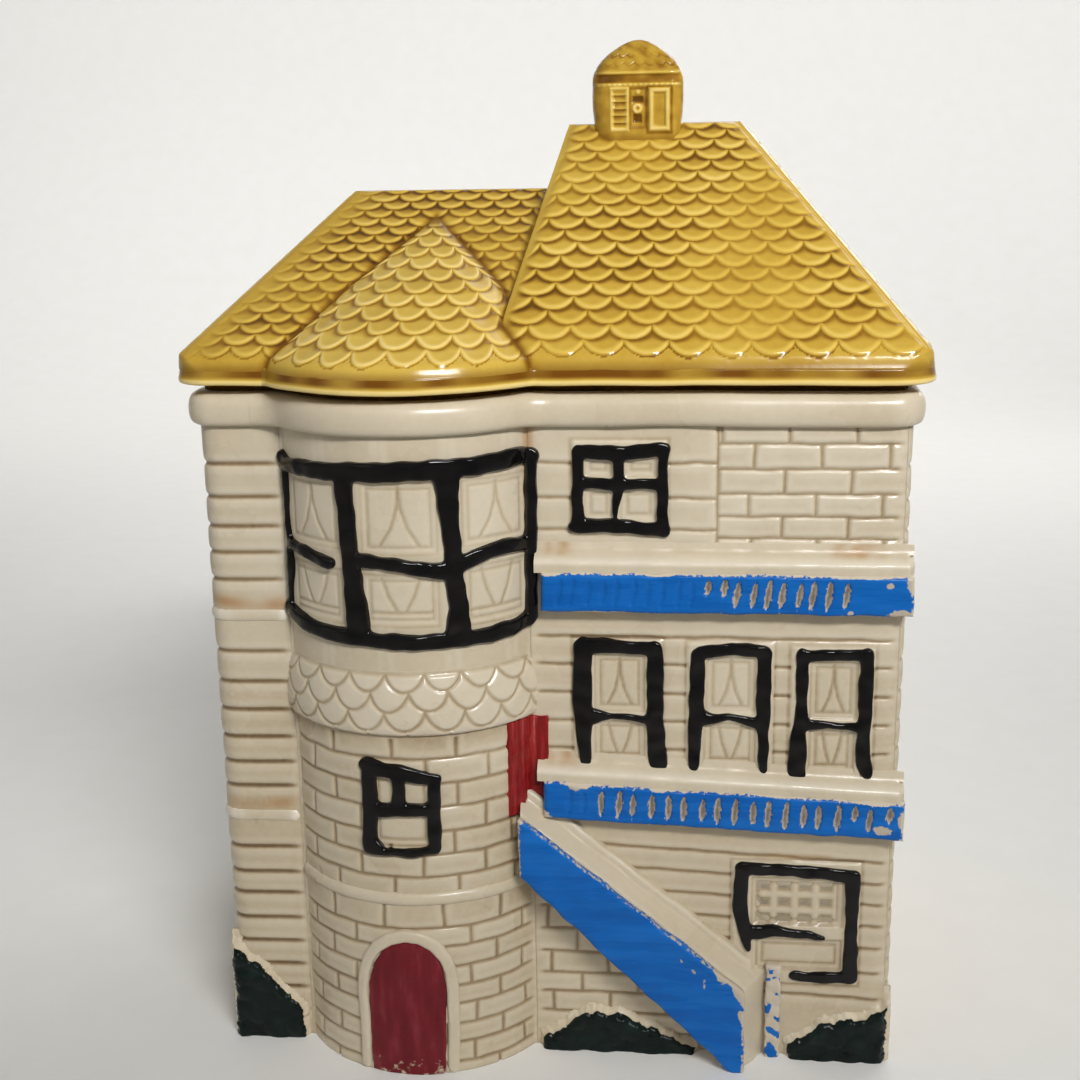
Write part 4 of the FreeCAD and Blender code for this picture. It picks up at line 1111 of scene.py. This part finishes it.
bm = castCopy("stair_ramp")
bmesh.ops.translate(bm, vec=(0, -house["front"], 0), verts=bm.verts)
curbOut, curbUp = stair["curb"]
curbFrom, curbTo = stair["left"][0], stair["right"][0] + 2.0
curbEdge = [(x, stairLine(x) + curbUp + up)
            for x, up in ((curbFrom, -4), (curbTo, -4), (curbTo, 1.2), (curbFrom, 1.2))]
addPlate(bm, curbEdge, front=curbOut, back=0.4)
bm = wobble(fuse(bm, voxel=0.5, rounds=4), size=8.0, amount=0.4, seed=16.0)
addPiece(toWall(bm), "stairRamp", *creamJar, ["stair_ramp"], gain=1.4)


def tintNewel(spots, rise):
    dab = uneven(spots[:, 0] + spots[:, 2] * 0.3, spots[:, 2], 3.4, 17.0)
    return {"bare": np.clip(0.62 - 1.1 * dab, 0, 1), "rise": 0.62 + 0.4 * (rise - 0.5)}


addPiece(softCast("newel_post", voxel=0.4, rounds=5, size=3.0, amount=0.5, seed=17.0),
         "newelPost", *blueJar, ["newel_post"], gain=1.6, tint=tintNewel)

# shrubs: low rounded leaves, painted short of their cream tops
shrubs = {
    "left_shrub": {"seed": 21, "tops": [(-95.8, 30.5), (-88.0, 25.0), (-80.0, 16.0), (-73.4, 9.0)]},
    "middle_shrub": {"seed": 22, "tops": [(-4.5, 5.0), (2.0, 8.0), (9.0, 13.6), (18.0, 13.0), (28.0, 9.0),
                                          (41.4, 2.6)]},
    "right_shrub": {"seed": 23, "tops": [(65.8, 5.0), (71.0, 8.0), (78.0, 13.6), (88.0, 14.0),
                                         (95.8, 20.0)]},
}


def leaves(x, z, size, seed):
    spots = zip((x / size).tolist(), (z / size).tolist())
    near = np.array([noise.voronoi(Vector((a, b, seed)))[0][0] for a, b in spots])
    return 1 - np.clip(near / 0.7, 0, 1) ** 2


def carveShrub(x, z, shrub):
    marks = np.array(shrub["tops"])
    ragged = 1.3 * uneven(x, z * 0.4, 3.4, shrub["seed"]) + 0.8 * uneven(x, z, 1.3, shrub["seed"] + 5)
    below = np.interp(x, marks[:, 0], marks[:, 1]) - z
    beside = np.minimum(x - marks[0, 0], marks[-1, 0] - x) + 0.6
    gap = np.minimum(below, beside) + ragged
    leaf = leaves(x, z, 5.2, shrub["seed"])
    height = 0.9 + ease(-0.2, 3.0, gap) * (2.6 + 0.9 * leaf)
    fringe = fade(1.2, 2.4, gap + 0.6 * leaf)
    rise = 0.4 + 0.2 * leaf + 0.25 * fringe
    return np.where(gap < -0.2, -0.8, height), {"rise": rise, "bare": 0.9 * fringe}


for node, shrub in shrubs.items():
    places, tops = zip(*shrub["tops"])
    span = (places[0], places[-1])
    bm = faceSheet(span, (0.0, max(tops) + 2.4), pitch=0.4, carve=lambda x, z: carveShrub(x, z, shrub))
    addPiece(bm, camelName(node), "jar", "green_glaze", greenEnamel, [node])
print("ledges, balconies, stair and shrubs ready")


# roof planes, millimetres
roof = {
    "eaveTop": 200.5,
    "front": house["front"] - 6.0,
    "back": house["back"] + 6.0,
    "left": house["left"] - 6.0,
    "right": house["right"] + 6.0,
    "corner": house["corner"] + 6.0,
    "mainRidge": 262.5,
    "mainLeft": 1.5,
    "mainRight": 50.5,
    "mainFoot": -15.0,
    "sideRidge": 244.3,
    "sideLeft": -63.0,
    "bayPeak": (-36.7, -3.87, 236.3),
    "baySwell": (-35.55, -20.0, 218.4, 25.0),
    "lipFoot": 195.6,  # the cast's own lip gives way to the eave band above this
    "flangeTop": 195.8,
    "border": 2.2,  # plain strip above the eave
    "thick": 0.78,
    "pitch": 0.42,
}
ridgeY = (roof["front"] + roof["back"]) / 2
mainRise = roof["mainRidge"] - roof["eaveTop"]
sideRise = roof["sideRidge"] - roof["eaveTop"]
halfDepth = ridgeY - roof["front"]
leftRun = roof["mainLeft"] - roof["mainFoot"]
sideMeet = roof["mainFoot"] + leftRun * sideRise / mainRise


def planeOut(points, spot, rise, run, facing):
    # distance outside a slope that climbs rise over run, facing out along (x, y)
    out = (points[:, 0] - spot[0]) * facing[0] + (points[:, 1] - spot[1]) * facing[1]
    up = points[:, 2] - roof["eaveTop"]
    return (out * rise + up * run) / math.hypot(rise, run)


def mainOut(points):
    planes = [
        planeOut(points, (0, roof["front"]), mainRise, halfDepth, (0, -1)),
        planeOut(points, (0, roof["back"]), mainRise, halfDepth, (0, 1)),
        planeOut(points, (roof["right"], 0), mainRise, roof["right"] - roof["mainRight"], (1, 0)),
        planeOut(points, (roof["mainFoot"], 0), mainRise, leftRun, (-1, 0)),
    ]
    return np.max(planes, axis=0)


def sideOut(points):
    planes = [
        planeOut(points, (0, roof["front"]), sideRise, halfDepth, (0, -1)),
        planeOut(points, (0, roof["back"]), sideRise, halfDepth, (0, 1)),
        planeOut(points, (roof["left"], 0), sideRise, roof["sideLeft"] - roof["left"], (-1, 0)),
        points[:, 0] - roof["mainLeft"],  # it ends inside the main roof
    ]
    return np.max(planes, axis=0)


bayFoot = np.array([house["towerX"], house["towerY"], roof["eaveTop"], house["towerRadius"] + 6.0])
baySwell = np.array(roof["baySwell"])
bayPeak = np.array(list(roof["bayPeak"]) + [0.0])


def bayRing(share):
    # centre and radius of the tower roof at a share of its height
    share = np.asarray(share)[:, None]
    low = bayFoot + (baySwell - bayFoot) * np.clip(share * 2, 0, 1)
    return low + (bayPeak - baySwell) * np.clip(share * 2 - 1, 0, 1)


def bayOut(points):
    share = (points[:, 2] - roof["eaveTop"]) / (bayPeak[2] - bayFoot[2])
    ring = bayRing(np.clip(share, 0, 1))
    gap = np.hypot(points[:, 0] - ring[:, 0], points[:, 1] - ring[:, 1]) - ring[:, 3]
    return gap * 0.7 + np.maximum(share - 1, 0) * 40


# lid cast: inside, lip and flange, with the stepped outside taken off under the tiles
eavePath = planPath(6.0, 1.0)
eaveLine = np.stack(pathAt(eavePath, np.linspace(0, eavePath["total"], 1600))[:2], 1)
bm = castCopy("roof_lid")
middles = np.array([face.calc_center_median()[:] for face in bm.faces])
roofGap = np.min([mainOut(middles), sideOut(middles), bayOut(middles)], axis=0)
eaveGap = np.array([np.hypot(*(eaveLine - spot[:2]).T).min() for spot in middles])
bare = (roofGap > -1.5) & (middles[:, 2] > roof["eaveTop"] - 0.3)
bare |= (eaveGap < 1.0) & (middles[:, 2] > roof["lipFoot"])
bmesh.ops.delete(bm, geom=[face for face, gone in zip(bm.faces, bare) if gone], context="FACES")
# painted shade: below the flange top the lid is coloured near-black brown, so the gap over the rim reads
# dark
addPiece(bm, "lidCast", *honeyLid, ["roof_lid"], sharp=35,
         tint=lambda spots, rise: {"rise": np.where(spots[:, 2] < roof["flangeTop"], 0.1, 0.4),
                                   "stain": spots[:, 2] * 0})


def tileKind(pitch, width, across):
    return {"pitch": pitch, "width": width, "across": across, "depth": 0.64, "round": 0.82}


def tileRelief(a, v, tall, tile):
    start, end = tile["pitch"]
    v = v - roof["border"]
    pitch = start + (end - start) * np.clip(v / tall, 0, 1)
    climb = tall / (end - start) * np.log(np.maximum(1 + (end - start) * v / (start * tall), 0.05))
    inner, cover, lane = scales(a, climb, pitch, tile)
    tail = ease(0.1, 0.95, inner)
    lip = tail * fade(0.7, 2.8, inner)
    # under each lip the colour darkens: glaze pooled in the step, widened into painted shade from the row
    # above
    under = fade(0.0, 1.9, cover)
    height = 0.1 + roof["thick"] * tail - 0.07 * np.minimum(inner, 7)
    rise = 0.5 + 0.33 * lip - 0.42 * (1 - tail) - 0.38 * under
    rise = np.clip(rise + 0.06 * np.sin(lane * 2.1), 0.14, 1)
    return np.where(lane < 0, 0.35, height), np.where(lane < 0, 0.5, rise)


def roundCorner(points):  # the eave's corners are rounded in plan
    x, y = points[:, 0], points[:, 1]
    reachX = np.abs(x) - (roof["right"] - roof["corner"])
    reachY = np.abs(y - ridgeY) - (roof["back"] - ridgeY - roof["corner"])
    gap = np.hypot(reachX, reachY)
    out = (reachX > 0) & (reachY > 0) & (gap > roof["corner"] - 0.5)
    share = np.where(out, (roof["corner"] - 0.5) / np.maximum(gap, 0.1), 1.0)
    x = np.where(out, x - np.sign(x) * reachX * (1 - share), x)
    y = np.where(out, y - np.sign(y - ridgeY) * reachY * (1 - share), y)
    return np.stack([x, y, points[:, 2]], 1)


def fadeValley(height, rise, gap):
    stain = 0.9 * fade(0.1, 1.4, gap)
    return height * ease(-0.2, 2.2, gap), rise - 0.16 * fade(0.0, 2.0, gap), stain


def rollFoot(height, stain, climbed, edge):  # the foot of a slope turns down over the eave
    rolled = fade(0.0, 3.4, climbed)
    height = np.where(edge, -1.4, height * (1 - rolled) - 0.9 * rolled)
    return height, np.maximum(stain, 0.6 * fade(0.2, 2.2, climbed)), rolled


def slopeSheet(slope):
    lowLeft, lowRight, highRight, highLeft = [np.array(corner, dtype=float) for corner in slope["corners"]]
    middle = (highLeft + highRight) / 2
    width = np.linalg.norm(lowRight - lowLeft)
    along = (lowRight - lowLeft) / width
    climb = (middle - lowLeft) - along * ((middle - lowLeft) @ along)
    tall = np.linalg.norm(climb)
    climb = climb / tall
    out = np.cross(along, climb)
    columns = round(width / roof["pitch"])
    rows = round(tall / roof["pitch"])

    def shape(u, v, edge):
        left = lowLeft + (highLeft - lowLeft) * v[:, None]
        right = lowRight + (highRight - lowRight) * v[:, None]
        base = left + (right - left) * u[:, None]
        a = (base - lowLeft) @ along - width / 2
        climbed = v * tall
        drift = 0.7 * uneven(a, climbed, 12.0, slope["seed"])
        waver = 0.5 * uneven(a, climbed, 20.0, slope["seed"] + 3)
        span = np.linalg.norm(right - left, axis=1)
        hip = ease(0.3, slope["hips"][0], u * span) * ease(0.3, slope["hips"][1], (1 - u) * span)
        hip = hip * ease(0.2, 3.0, (1 - v) * tall)
        stain = np.zeros(len(u))
        height = np.full(len(u), 0.1)
        rise = np.full(len(u), 0.5)
        if slope["tile"]:
            height, rise = tileRelief(a + drift, climbed + waver, tall, slope["tile"])
        worn = np.clip(0.9 + 0.8 * uneven(a, climbed, 26.0, slope["seed"] + 6), 0.45, 1)
        height = height * hip
        rise = 0.55 + (rise - 0.55) * hip * worn
        if slope["others"]:
            gap = np.min([other(base + out * 0.3) for other in slope["others"]], axis=0)
            height, rise, stain = fadeValley(height, rise, gap)
        height, stain, rolled = rollFoot(height, stain, climbed, edge)
        points = roundCorner(base + out * height[:, None])
        points[:, 2] -= rolled ** 2
        crest = np.minimum(np.minimum(u, 1 - u) * span, (1 - v) * tall)
        points[:, 2] -= 0.5 * fade(0.0, slope.get("crest", 2.6), crest) * (1 - rolled)
        # a slope's tone shifts its colour; on the lower left roof it is painted shade
        return points, {"rise": rise + slope.get("tone", 0.0), "stain": stain}

    bm = softenInside(weld(sheet(columns, rows, shape)))
    return trimBuried(bm, slope["others"])


def softenInside(bm):
    return relax(bm, [vert for vert in bm.verts if not vert.is_boundary], 2)


def trimBuried(bm, others):
    if others:
        points = np.array([vert.co[:] for vert in bm.verts])
        deep = np.min([other(points) for other in others], axis=0) < -1.2
        bm.verts.index_update()
        lost = [face for face in bm.faces if all(deep[vert.index] for vert in face.verts)]
        bmesh.ops.delete(bm, geom=lost, context="FACES")
    return bm


eave, mainTop, sideTop = roof["eaveTop"], roof["mainRidge"], roof["sideRidge"]
front, back, left, right = roof["front"], roof["back"], roof["left"], roof["right"]
mainLeftTop = (roof["mainLeft"], ridgeY, mainTop)
mainRightTop = (roof["mainRight"], ridgeY, mainTop)
sideLeftTop = (roof["sideLeft"], ridgeY, sideTop)
sideRightTop = (sideMeet, ridgeY, sideTop)
mainFoot = roof["mainFoot"]
mainTile = tileKind((5.5, 4.1), 10.4, lambda a, lane: a / (10.9 - 0.1 * lane))
endTile = tileKind((5.4, 4.2), 10.0, lambda a, lane: a / (10.6 - 0.08 * lane))
sideTile = tileKind((5.0, 4.0), 8.5, lambda a, lane: a / (8.6 - 0.02 * lane))
slopes = {  # hips: how far the relief fades in from the left and the right edge
    "mainRoofFront": {"corners": [(mainFoot, front, eave), (right, front, eave), mainRightTop, mainLeftTop],
                      "others": [bayOut], "hips": (4.0, 5.0), "tile": mainTile, "seed": 1.7},
    "mainRoofRight": {"corners": [(right, front, eave), (right, back, eave), mainRightTop, mainRightTop],
                      "others": [], "hips": (5.0, 5.0), "tile": endTile, "seed": 2.7, "crest": 0.8},
    "mainRoofBack": {"corners": [(right, back, eave), (mainFoot, back, eave), mainLeftTop, mainRightTop],
                     "others": [], "hips": (5.0, 4.0), "tile": mainTile, "seed": 3.7},
    "mainRoofLeft": {"corners": [(mainFoot, back, eave), (mainFoot, front, eave), mainLeftTop, mainLeftTop],
                     "others": [sideOut, bayOut], "hips": (1.0, 1.0), "tile": None, "seed": 4.7},
    # painted shade: the lower left roof's three slopes have a tone of -0.05 and are coloured a little darker
    "sideRoofFront": {"corners": [(left, front, eave), (mainFoot, front, eave), sideRightTop, sideLeftTop],
                      "others": [mainOut, bayOut], "hips": (14.0, 3.0), "tile": sideTile, "seed": 5.7,
                      "tone": -0.05},
    "sideRoofLeft": {"corners": [(left, back, eave), (left, front, eave), sideLeftTop, sideLeftTop],
                     "others": [], "hips": (6.0, 10.0), "tile": endTile, "seed": 6.7, "tone": -0.05},
    "sideRoofBack": {"corners": [(mainFoot, back, eave), (left, back, eave), sideLeftTop, sideRightTop],
                     "others": [mainOut], "hips": (3.0, 6.0), "tile": sideTile, "seed": 7.7, "tone": -0.05},
}
for name, slope in slopes.items():
    addPiece(slopeSheet(slope), name, *honeyLid)


def bayGirth(lane):
    share = np.clip((lane * bay["row"] + roof["border"]) / bay["tall"], 0, 0.97)
    return bayRing(share.ravel())[:, 3].reshape(share.shape)


bay = {
    "turn": 118.0,
    "tall": 84.0,
    "row": 6.7,
    "girth": 30.0,  # a middling radius, for the unevenness
    # painted light: the whole tower roof is coloured paler, to look more brightly lit
    "pale": 0.13,
    "grid": (420, 190),
    "tile": tileKind((7.8, 5.6), 10.0, lambda a, lane: a * bayGirth(lane) / 10.0),
}


def bayShape(u, v, edge):
    turn = np.radians(-bay["turn"] + 2 * bay["turn"] * u)
    ring = bayRing(v)
    outX, outY = np.sin(turn), -np.cos(turn)
    base = np.stack([ring[:, 0] + ring[:, 3] * outX, ring[:, 1] + ring[:, 3] * outY, ring[:, 2]], 1)
    around = turn * bay["girth"]
    climbed = v * bay["tall"]
    drift = 0.02 * uneven(around, climbed, 12.0, 8.7)
    waver = 0.6 * uneven(around, climbed, 20.0, 9.7)
    height, rise = tileRelief(turn + drift, climbed + waver, bay["tall"], bay["tile"])
    height = height * ease(0.0, 5.0, (1 - v) * bay["tall"])
    # painted light: lifts the tower roof's colour
    rise = rise + bay["pale"]
    gap = np.min([mainOut(base), sideOut(base)], axis=0)
    height, rise, stain = fadeValley(height, rise, gap)
    lean = np.stack([outX * 0.6, outY * 0.6, np.full(len(u), 0.8)], 1)  # out of the slope
    height, stain, rolled = rollFoot(height, stain, climbed, edge)
    points = base + lean * height[:, None]
    points[:, 2] -= rolled ** 2
    return points, {"rise": rise, "stain": stain}


bm = softenInside(weld(sheet(*bay["grid"], bayShape)))
addPiece(trimBuried(bm, [mainOut, sideOut]), "bayRoof", *honeyLid)

# eave: the slope rolls over to a short face where the glaze pools brown above a thin pale lip
eaves = {
    "section": [(-3.0, 194.7), (-0.8, 194.7), (-0.15, 195.1), (-0.05, 195.9), (-0.35, 196.9), (-0.5, 197.9),
                (-0.6, 198.8), (-1.0, 199.3), (-2.0, 199.6), (-3.2, 199.7), (-4.8, 199.2), (-4.8, 195.6)],
    "lip": 195.5,
    "pool": 198.1,
    "pitch": 1.0,
    "steps": 64,
}


def eaveTone(s, out, z):
    lip = bump(z - eaves["lip"], 0.4, 1.0)
    pool = bump(z - eaves["pool"], 0.8, 1.9)
    run = np.clip(0.8 + 0.7 * uneven(s, z * 0.3, 9.0, 4.0), 0.3, 1)
    return {"rise": 0.5 + 0.5 * lip, "stain": pool * run * (out > -2.5)}


addPiece(sweep(eavePath, eaves["section"], eaves["pitch"], eaves["steps"], tone=eaveTone, soften=2,
               vary=handMade((0.12, 9.0, 3.5), (0.2, 18.0, 1.5), -0.05)),
         "eaveBand", *honeyLid)

# cupola: one soft lump, square with rounded corners, a modelled front and a mounded cap
cupola = {
    "axis": (21.5, 9.1),
    "half": (13.2, 8.0),
    "corners": (6.0, 3.6, 5.0, 5.0),  # front left, front right, back right, back left
    "outline": [(0.9, 256.0), (0.94, 260.0), (0.985, 265.0), (1.0, 269.0), (0.995, 273.0), (0.985, 274.4),
                (0.96, 275.8), (0.9, 277.4), (0.79, 279.3), (0.62, 281.3), (0.42, 283.1), (0.22, 284.4),
                (0.09, 284.85), (0.0, 284.95)],  # share of the plan, height
    "seam": 274.0,
    "capFoot": 276.4,
    "scallops": (276.0, 2.4, 22),  # foot, row and number of the cap's faint tiles
    "columns": 360,
    "left": (14.2, 18.6, 259.8, 271.0),
    "centre": (19.5, 24.0, 260.4, 271.2),
    "right": (24.8, 31.0, 259.2, 271.4),
    "darkSquares": [(20.2, 23.2, 267.3, 269.0), (20.3, 22.8, 261.8, 264.0)],
    "ring": (21.6, 265.6),
    "knob": (21.7, 270.1),
    "frieze": (272.7, 275.0),
}


def cupolaPlan():
    x, y = cupola["axis"]
    wide, deep = cupola["half"]
    turns = [(-1, -1, 180), (1, -1, 270), (1, 1, 0), (-1, 1, 90)]
    runs = [arcPoints((x + right * (wide - radius), y + back * (deep - radius)), radius, start, start + 90)
            for (right, back, start), radius in zip(turns, cupola["corners"])]
    return closedPath(runs)


cupolaPath = cupolaPlan()


def carveCupola(x, z):
    height = 0.12 * uneven(x, z, 3.0, 2.0)
    rise = 0.44 + 0.1 * uneven(x, z, 2.4, 4.0)
    # the raised rims, rail, ring, knob, beads and top edge are coloured paler: thin glaze on raised edges,
    # and painted highlight
    inside = boxGap(x, z, cupola["left"])
    slat = ((z - cupola["left"][2]) / 1.9) % 1.0
    field = ease(-0.3, 0.5, inside)
    height = height - 0.4 * field * slat + 0.45 * bump(inside, 0.1, 0.8)
    rise = rise + 0.4 * bump(inside, 0.2, 0.9) + field * (0.22 - 0.5 * slat)
    inside = boxGap(x, z, cupola["centre"])
    height = height - 0.25 * ease(-0.3, 0.5, inside)
    rise = rise - 0.14 * bump(inside, 0.1, 0.7)
    inside = boxGap(x, z, cupola["right"])
    rail = bump(inside - 0.8, 0.2, 1.0)
    height = height + 0.6 * rail - 0.2 * ease(1.2, 2.0, inside)
    rise = rise + 0.42 * rail - 0.2 * bump(inside + 0.3, 0.1, 0.7)
    for square in cupola["darkSquares"]:
        sunk = ease(-0.3, 0.4, boxGap(x, z, square))
        height, rise = press(height, rise, sunk, -0.5, -0.32)
    around = np.hypot(x - cupola["ring"][0], z - cupola["ring"][1])
    height, rise = press(height, rise, bump(around - 0.95, 0.2, 0.8), 0.7, 0.45)
    around = np.hypot(x - cupola["knob"][0], z - cupola["knob"][1])
    height, rise = press(height, rise, bump(around, 0.2, 1.0), 0.5, 0.4)
    low, high = cupola["frieze"]
    band = ease(-0.3, 0.4, np.minimum(z - low, high - z))
    bead = bump(z - low + 0.5, 0.1, 0.7) * (0.75 + 0.25 * np.cos(x * 4.2))
    edge = bump(z - high - 0.5, 0.1, 0.7)
    height = height - 0.45 * band + 0.4 * bead + 0.35 * edge
    # painted shade: the frieze darkens further towards the left, the side away from the light
    rise = rise - 0.14 * band - 0.2 * band * fade(14.0, 19.0, x) + 0.4 * bead + 0.3 * edge
    return height, rise


def cupolaShape(u, v, levels):
    outline = np.array(cupola["outline"])
    run = np.concatenate([[0], np.cumsum(np.hypot(np.diff(outline[:, 0]) * 11, np.diff(outline[:, 1])))])
    ends = np.interp(levels, outline[:, 1], run)
    climb = ends[0] + v * (ends[1] - ends[0])
    share = np.interp(climb, run, outline[:, 0])
    z = np.interp(climb, run, outline[:, 1])
    x, y, outX, outY = pathAt(cupolaPath, u * cupolaPath["total"])
    middleX, middleY = cupola["axis"]
    x = middleX + (x - middleX) * share
    y = middleY + (y - middleY) * share
    height, rise = carveCupola(x, z)
    capFoot = cupola["capFoot"]
    front = ease(0.35, 0.9, -outY) * (z < capFoot)
    foot, row, count = cupola["scallops"]
    course = (z - foot) / row + 0.4 * np.abs(np.cos(u * math.pi * count))
    cut = bump((course + 0.5) % 1.0 - 0.5, 0.0, 0.22)
    cut = cut * ease(capFoot, capFoot + 1.0, z) * fade(281.5, 283.5, z)
    cut = cut * np.clip(0.5 + uneven(x + y, z, 3.4, 5.0), 0, 1)
    plain = 0.1 * uneven(x + y, z, 2.6, 6.0) - 0.2 * cut
    tone = 0.43 + 0.16 * uneven(x + y, z, 2.6, 8.0) - 0.16 * cut
    height = height * front + plain * (1 - front)
    points = np.stack([x + outX * height, y + outY * height, z + 0.0 * height], 1)
    # painted shade: the second term darkens the upper left side of the cupola
    stain = 0.5 * fade(257.0, 259.5, z) + 0.3 * fade(10.5, 14.5, x) * (z > 272)
    rise = np.clip(rise * front + tone * (1 - front), 0.13, 1)
    return points, {"rise": rise, "stain": np.clip(stain, 0, 1)}


foot, seam, peak = cupola["outline"][0][1], cupola["seam"], cupola["outline"][-1][1]
for name, node, levels, rows in (("cupolaWalls", "cupola_walls", (foot, seam), 90),
                                 ("cupolaCap", "cupola_roof", (seam, peak), 80)):
    bm = sheet(cupola["columns"], rows, lambda u, v, edge: cupolaShape(u, v, levels), folded=False)
    addPiece(weld(bm), name, *honeyLid, [node])
print("lid ready")


# stage: one pale paper sweep, soft light, camera at the photograph's angle
sweepPaper = {"front": -5.0, "bend": 1.0, "radius": 0.5, "top": 1.1, "half": 7.0}
bm = bmesh.new()
bmesh.ops.create_grid(bm, x_segments=1, y_segments=80, size=0.5)
flatRun = sweepPaper["bend"] - sweepPaper["front"]
arcRun = sweepPaper["radius"] * math.pi / 2
wallRun = sweepPaper["top"] - sweepPaper["radius"]
for vert in bm.verts:
    along = (vert.co.y + 0.5) * (flatRun + arcRun + wallRun)
    turn = min(max((along - flatRun) / sweepPaper["radius"], 0), math.pi / 2)
    y = sweepPaper["front"] + min(along, flatRun) + sweepPaper["radius"] * math.sin(turn)
    z = sweepPaper["radius"] * (1 - math.cos(turn)) + max(along - flatRun - arcRun, 0)
    vert.co = (vert.co.x * 2 * sweepPaper["half"], y, z)
paperMesh = bpy.data.meshes.new("paperSweep")
bm.to_mesh(paperMesh)
bm.free()
paperMesh.shade_smooth()
# pale matt paper: nearly white with a faint mottle and no shine
palePaper = bpy.data.materials.new("palePaper")
palePaper.use_nodes = True
paperTree = palePaper.node_tree
paperShader = paperTree.nodes["Principled BSDF"]
paperPlace = addNode(paperTree, "TexCoord").outputs["Object"]
paperGrain = addNode(paperTree, "TexNoise", {"Scale": 60.0}, {"Vector": paperPlace})
paperTone = addNode(paperTree, "ValToRGB", {"stops": [(0.0, "#f1f0ec"), (1.0, "#f6f5f2")]},
                    {0: paperGrain.outputs["Fac"]})
paperTree.links.new(paperTone.outputs["Color"], paperShader.inputs["Base Color"])
paperShader.inputs["Roughness"].default_value = 0.9
paperMesh.materials.append(palePaper)
paperPiece = bpy.data.objects.new("paperSweep", paperMesh)
scene.collection.objects.link(paperPiece)

world = bpy.data.worlds.new("studio")
scene.world = world
world.use_nodes = True
sky = world.node_tree.nodes["Background"]
sky.inputs["Color"].default_value = linearColour("#fbfaf7")
sky.inputs["Strength"].default_value = 0.22

lights = {
    "keyStrip": {"place": (0.42, -0.85, 0.78), "aim": (0.06, -0.05, 0.25),
                 "size": (0.5, 0.1), "power": 0.86, "spread": 45},
    "leftFill": {"place": (-0.9, -0.9, 0.7), "aim": (0.0, 0.0, 0.14),
                 "size": (0.9, 0.9), "power": 0.2, "spread": 90},
    "backFill": {"place": (0.5, 0.9, 0.8), "aim": (0.0, 0.0, 0.15),
                 "size": (0.9, 0.9), "power": 2.0, "spread": 120},
    "paperWash": {"place": (0.0, 0.7, 1.3), "aim": (0.0, 1.6, 0.35),
                  "size": (3.0, 0.4), "power": 12.0, "spread": 130},
}
for name, lamp in lights.items():
    data = bpy.data.lights.new(name, "AREA")
    data.shape = "RECTANGLE"
    data.size, data.size_y = lamp["size"]
    data.energy = lamp["power"]
    data.spread = math.radians(lamp["spread"])
    light = bpy.data.objects.new(name, data)
    light.location = lamp["place"]
    light.rotation_euler = (Vector(lamp["aim"]) - Vector(lamp["place"])).to_track_quat("-Z", "Y").to_euler()
    scene.collection.objects.link(light)

view = {"place": (38.26, -448.69, 250.87), "yaw": -5.92, "pitch": 14.03, "roll": -0.89, "lens": 50.27}
yaw, pitch, roll = (math.radians(view[key]) for key in ("yaw", "pitch", "roll"))
ahead = Vector((math.sin(yaw) * math.cos(pitch), math.cos(yaw) * math.cos(pitch), -math.sin(pitch)))
level = Vector((math.cos(yaw), -math.sin(yaw), 0))
upright = level.cross(ahead)
rightward = math.cos(roll) * level + math.sin(roll) * upright
upward = -math.sin(roll) * level + math.cos(roll) * upright
cameraData = bpy.data.cameras.new("camera")
cameraData.lens = view["lens"]
cameraData.sensor_width = 36.0
cameraData.sensor_fit = "HORIZONTAL"
camera = bpy.data.objects.new("camera", cameraData)
turned = Matrix((rightward, upward, -ahead)).transposed().to_4x4()
camera.matrix_world = Matrix.Translation(Vector(view["place"]) * mm) @ turned
scene.collection.objects.link(camera)
scene.camera = camera
scene.view_settings.view_transform = "Standard"
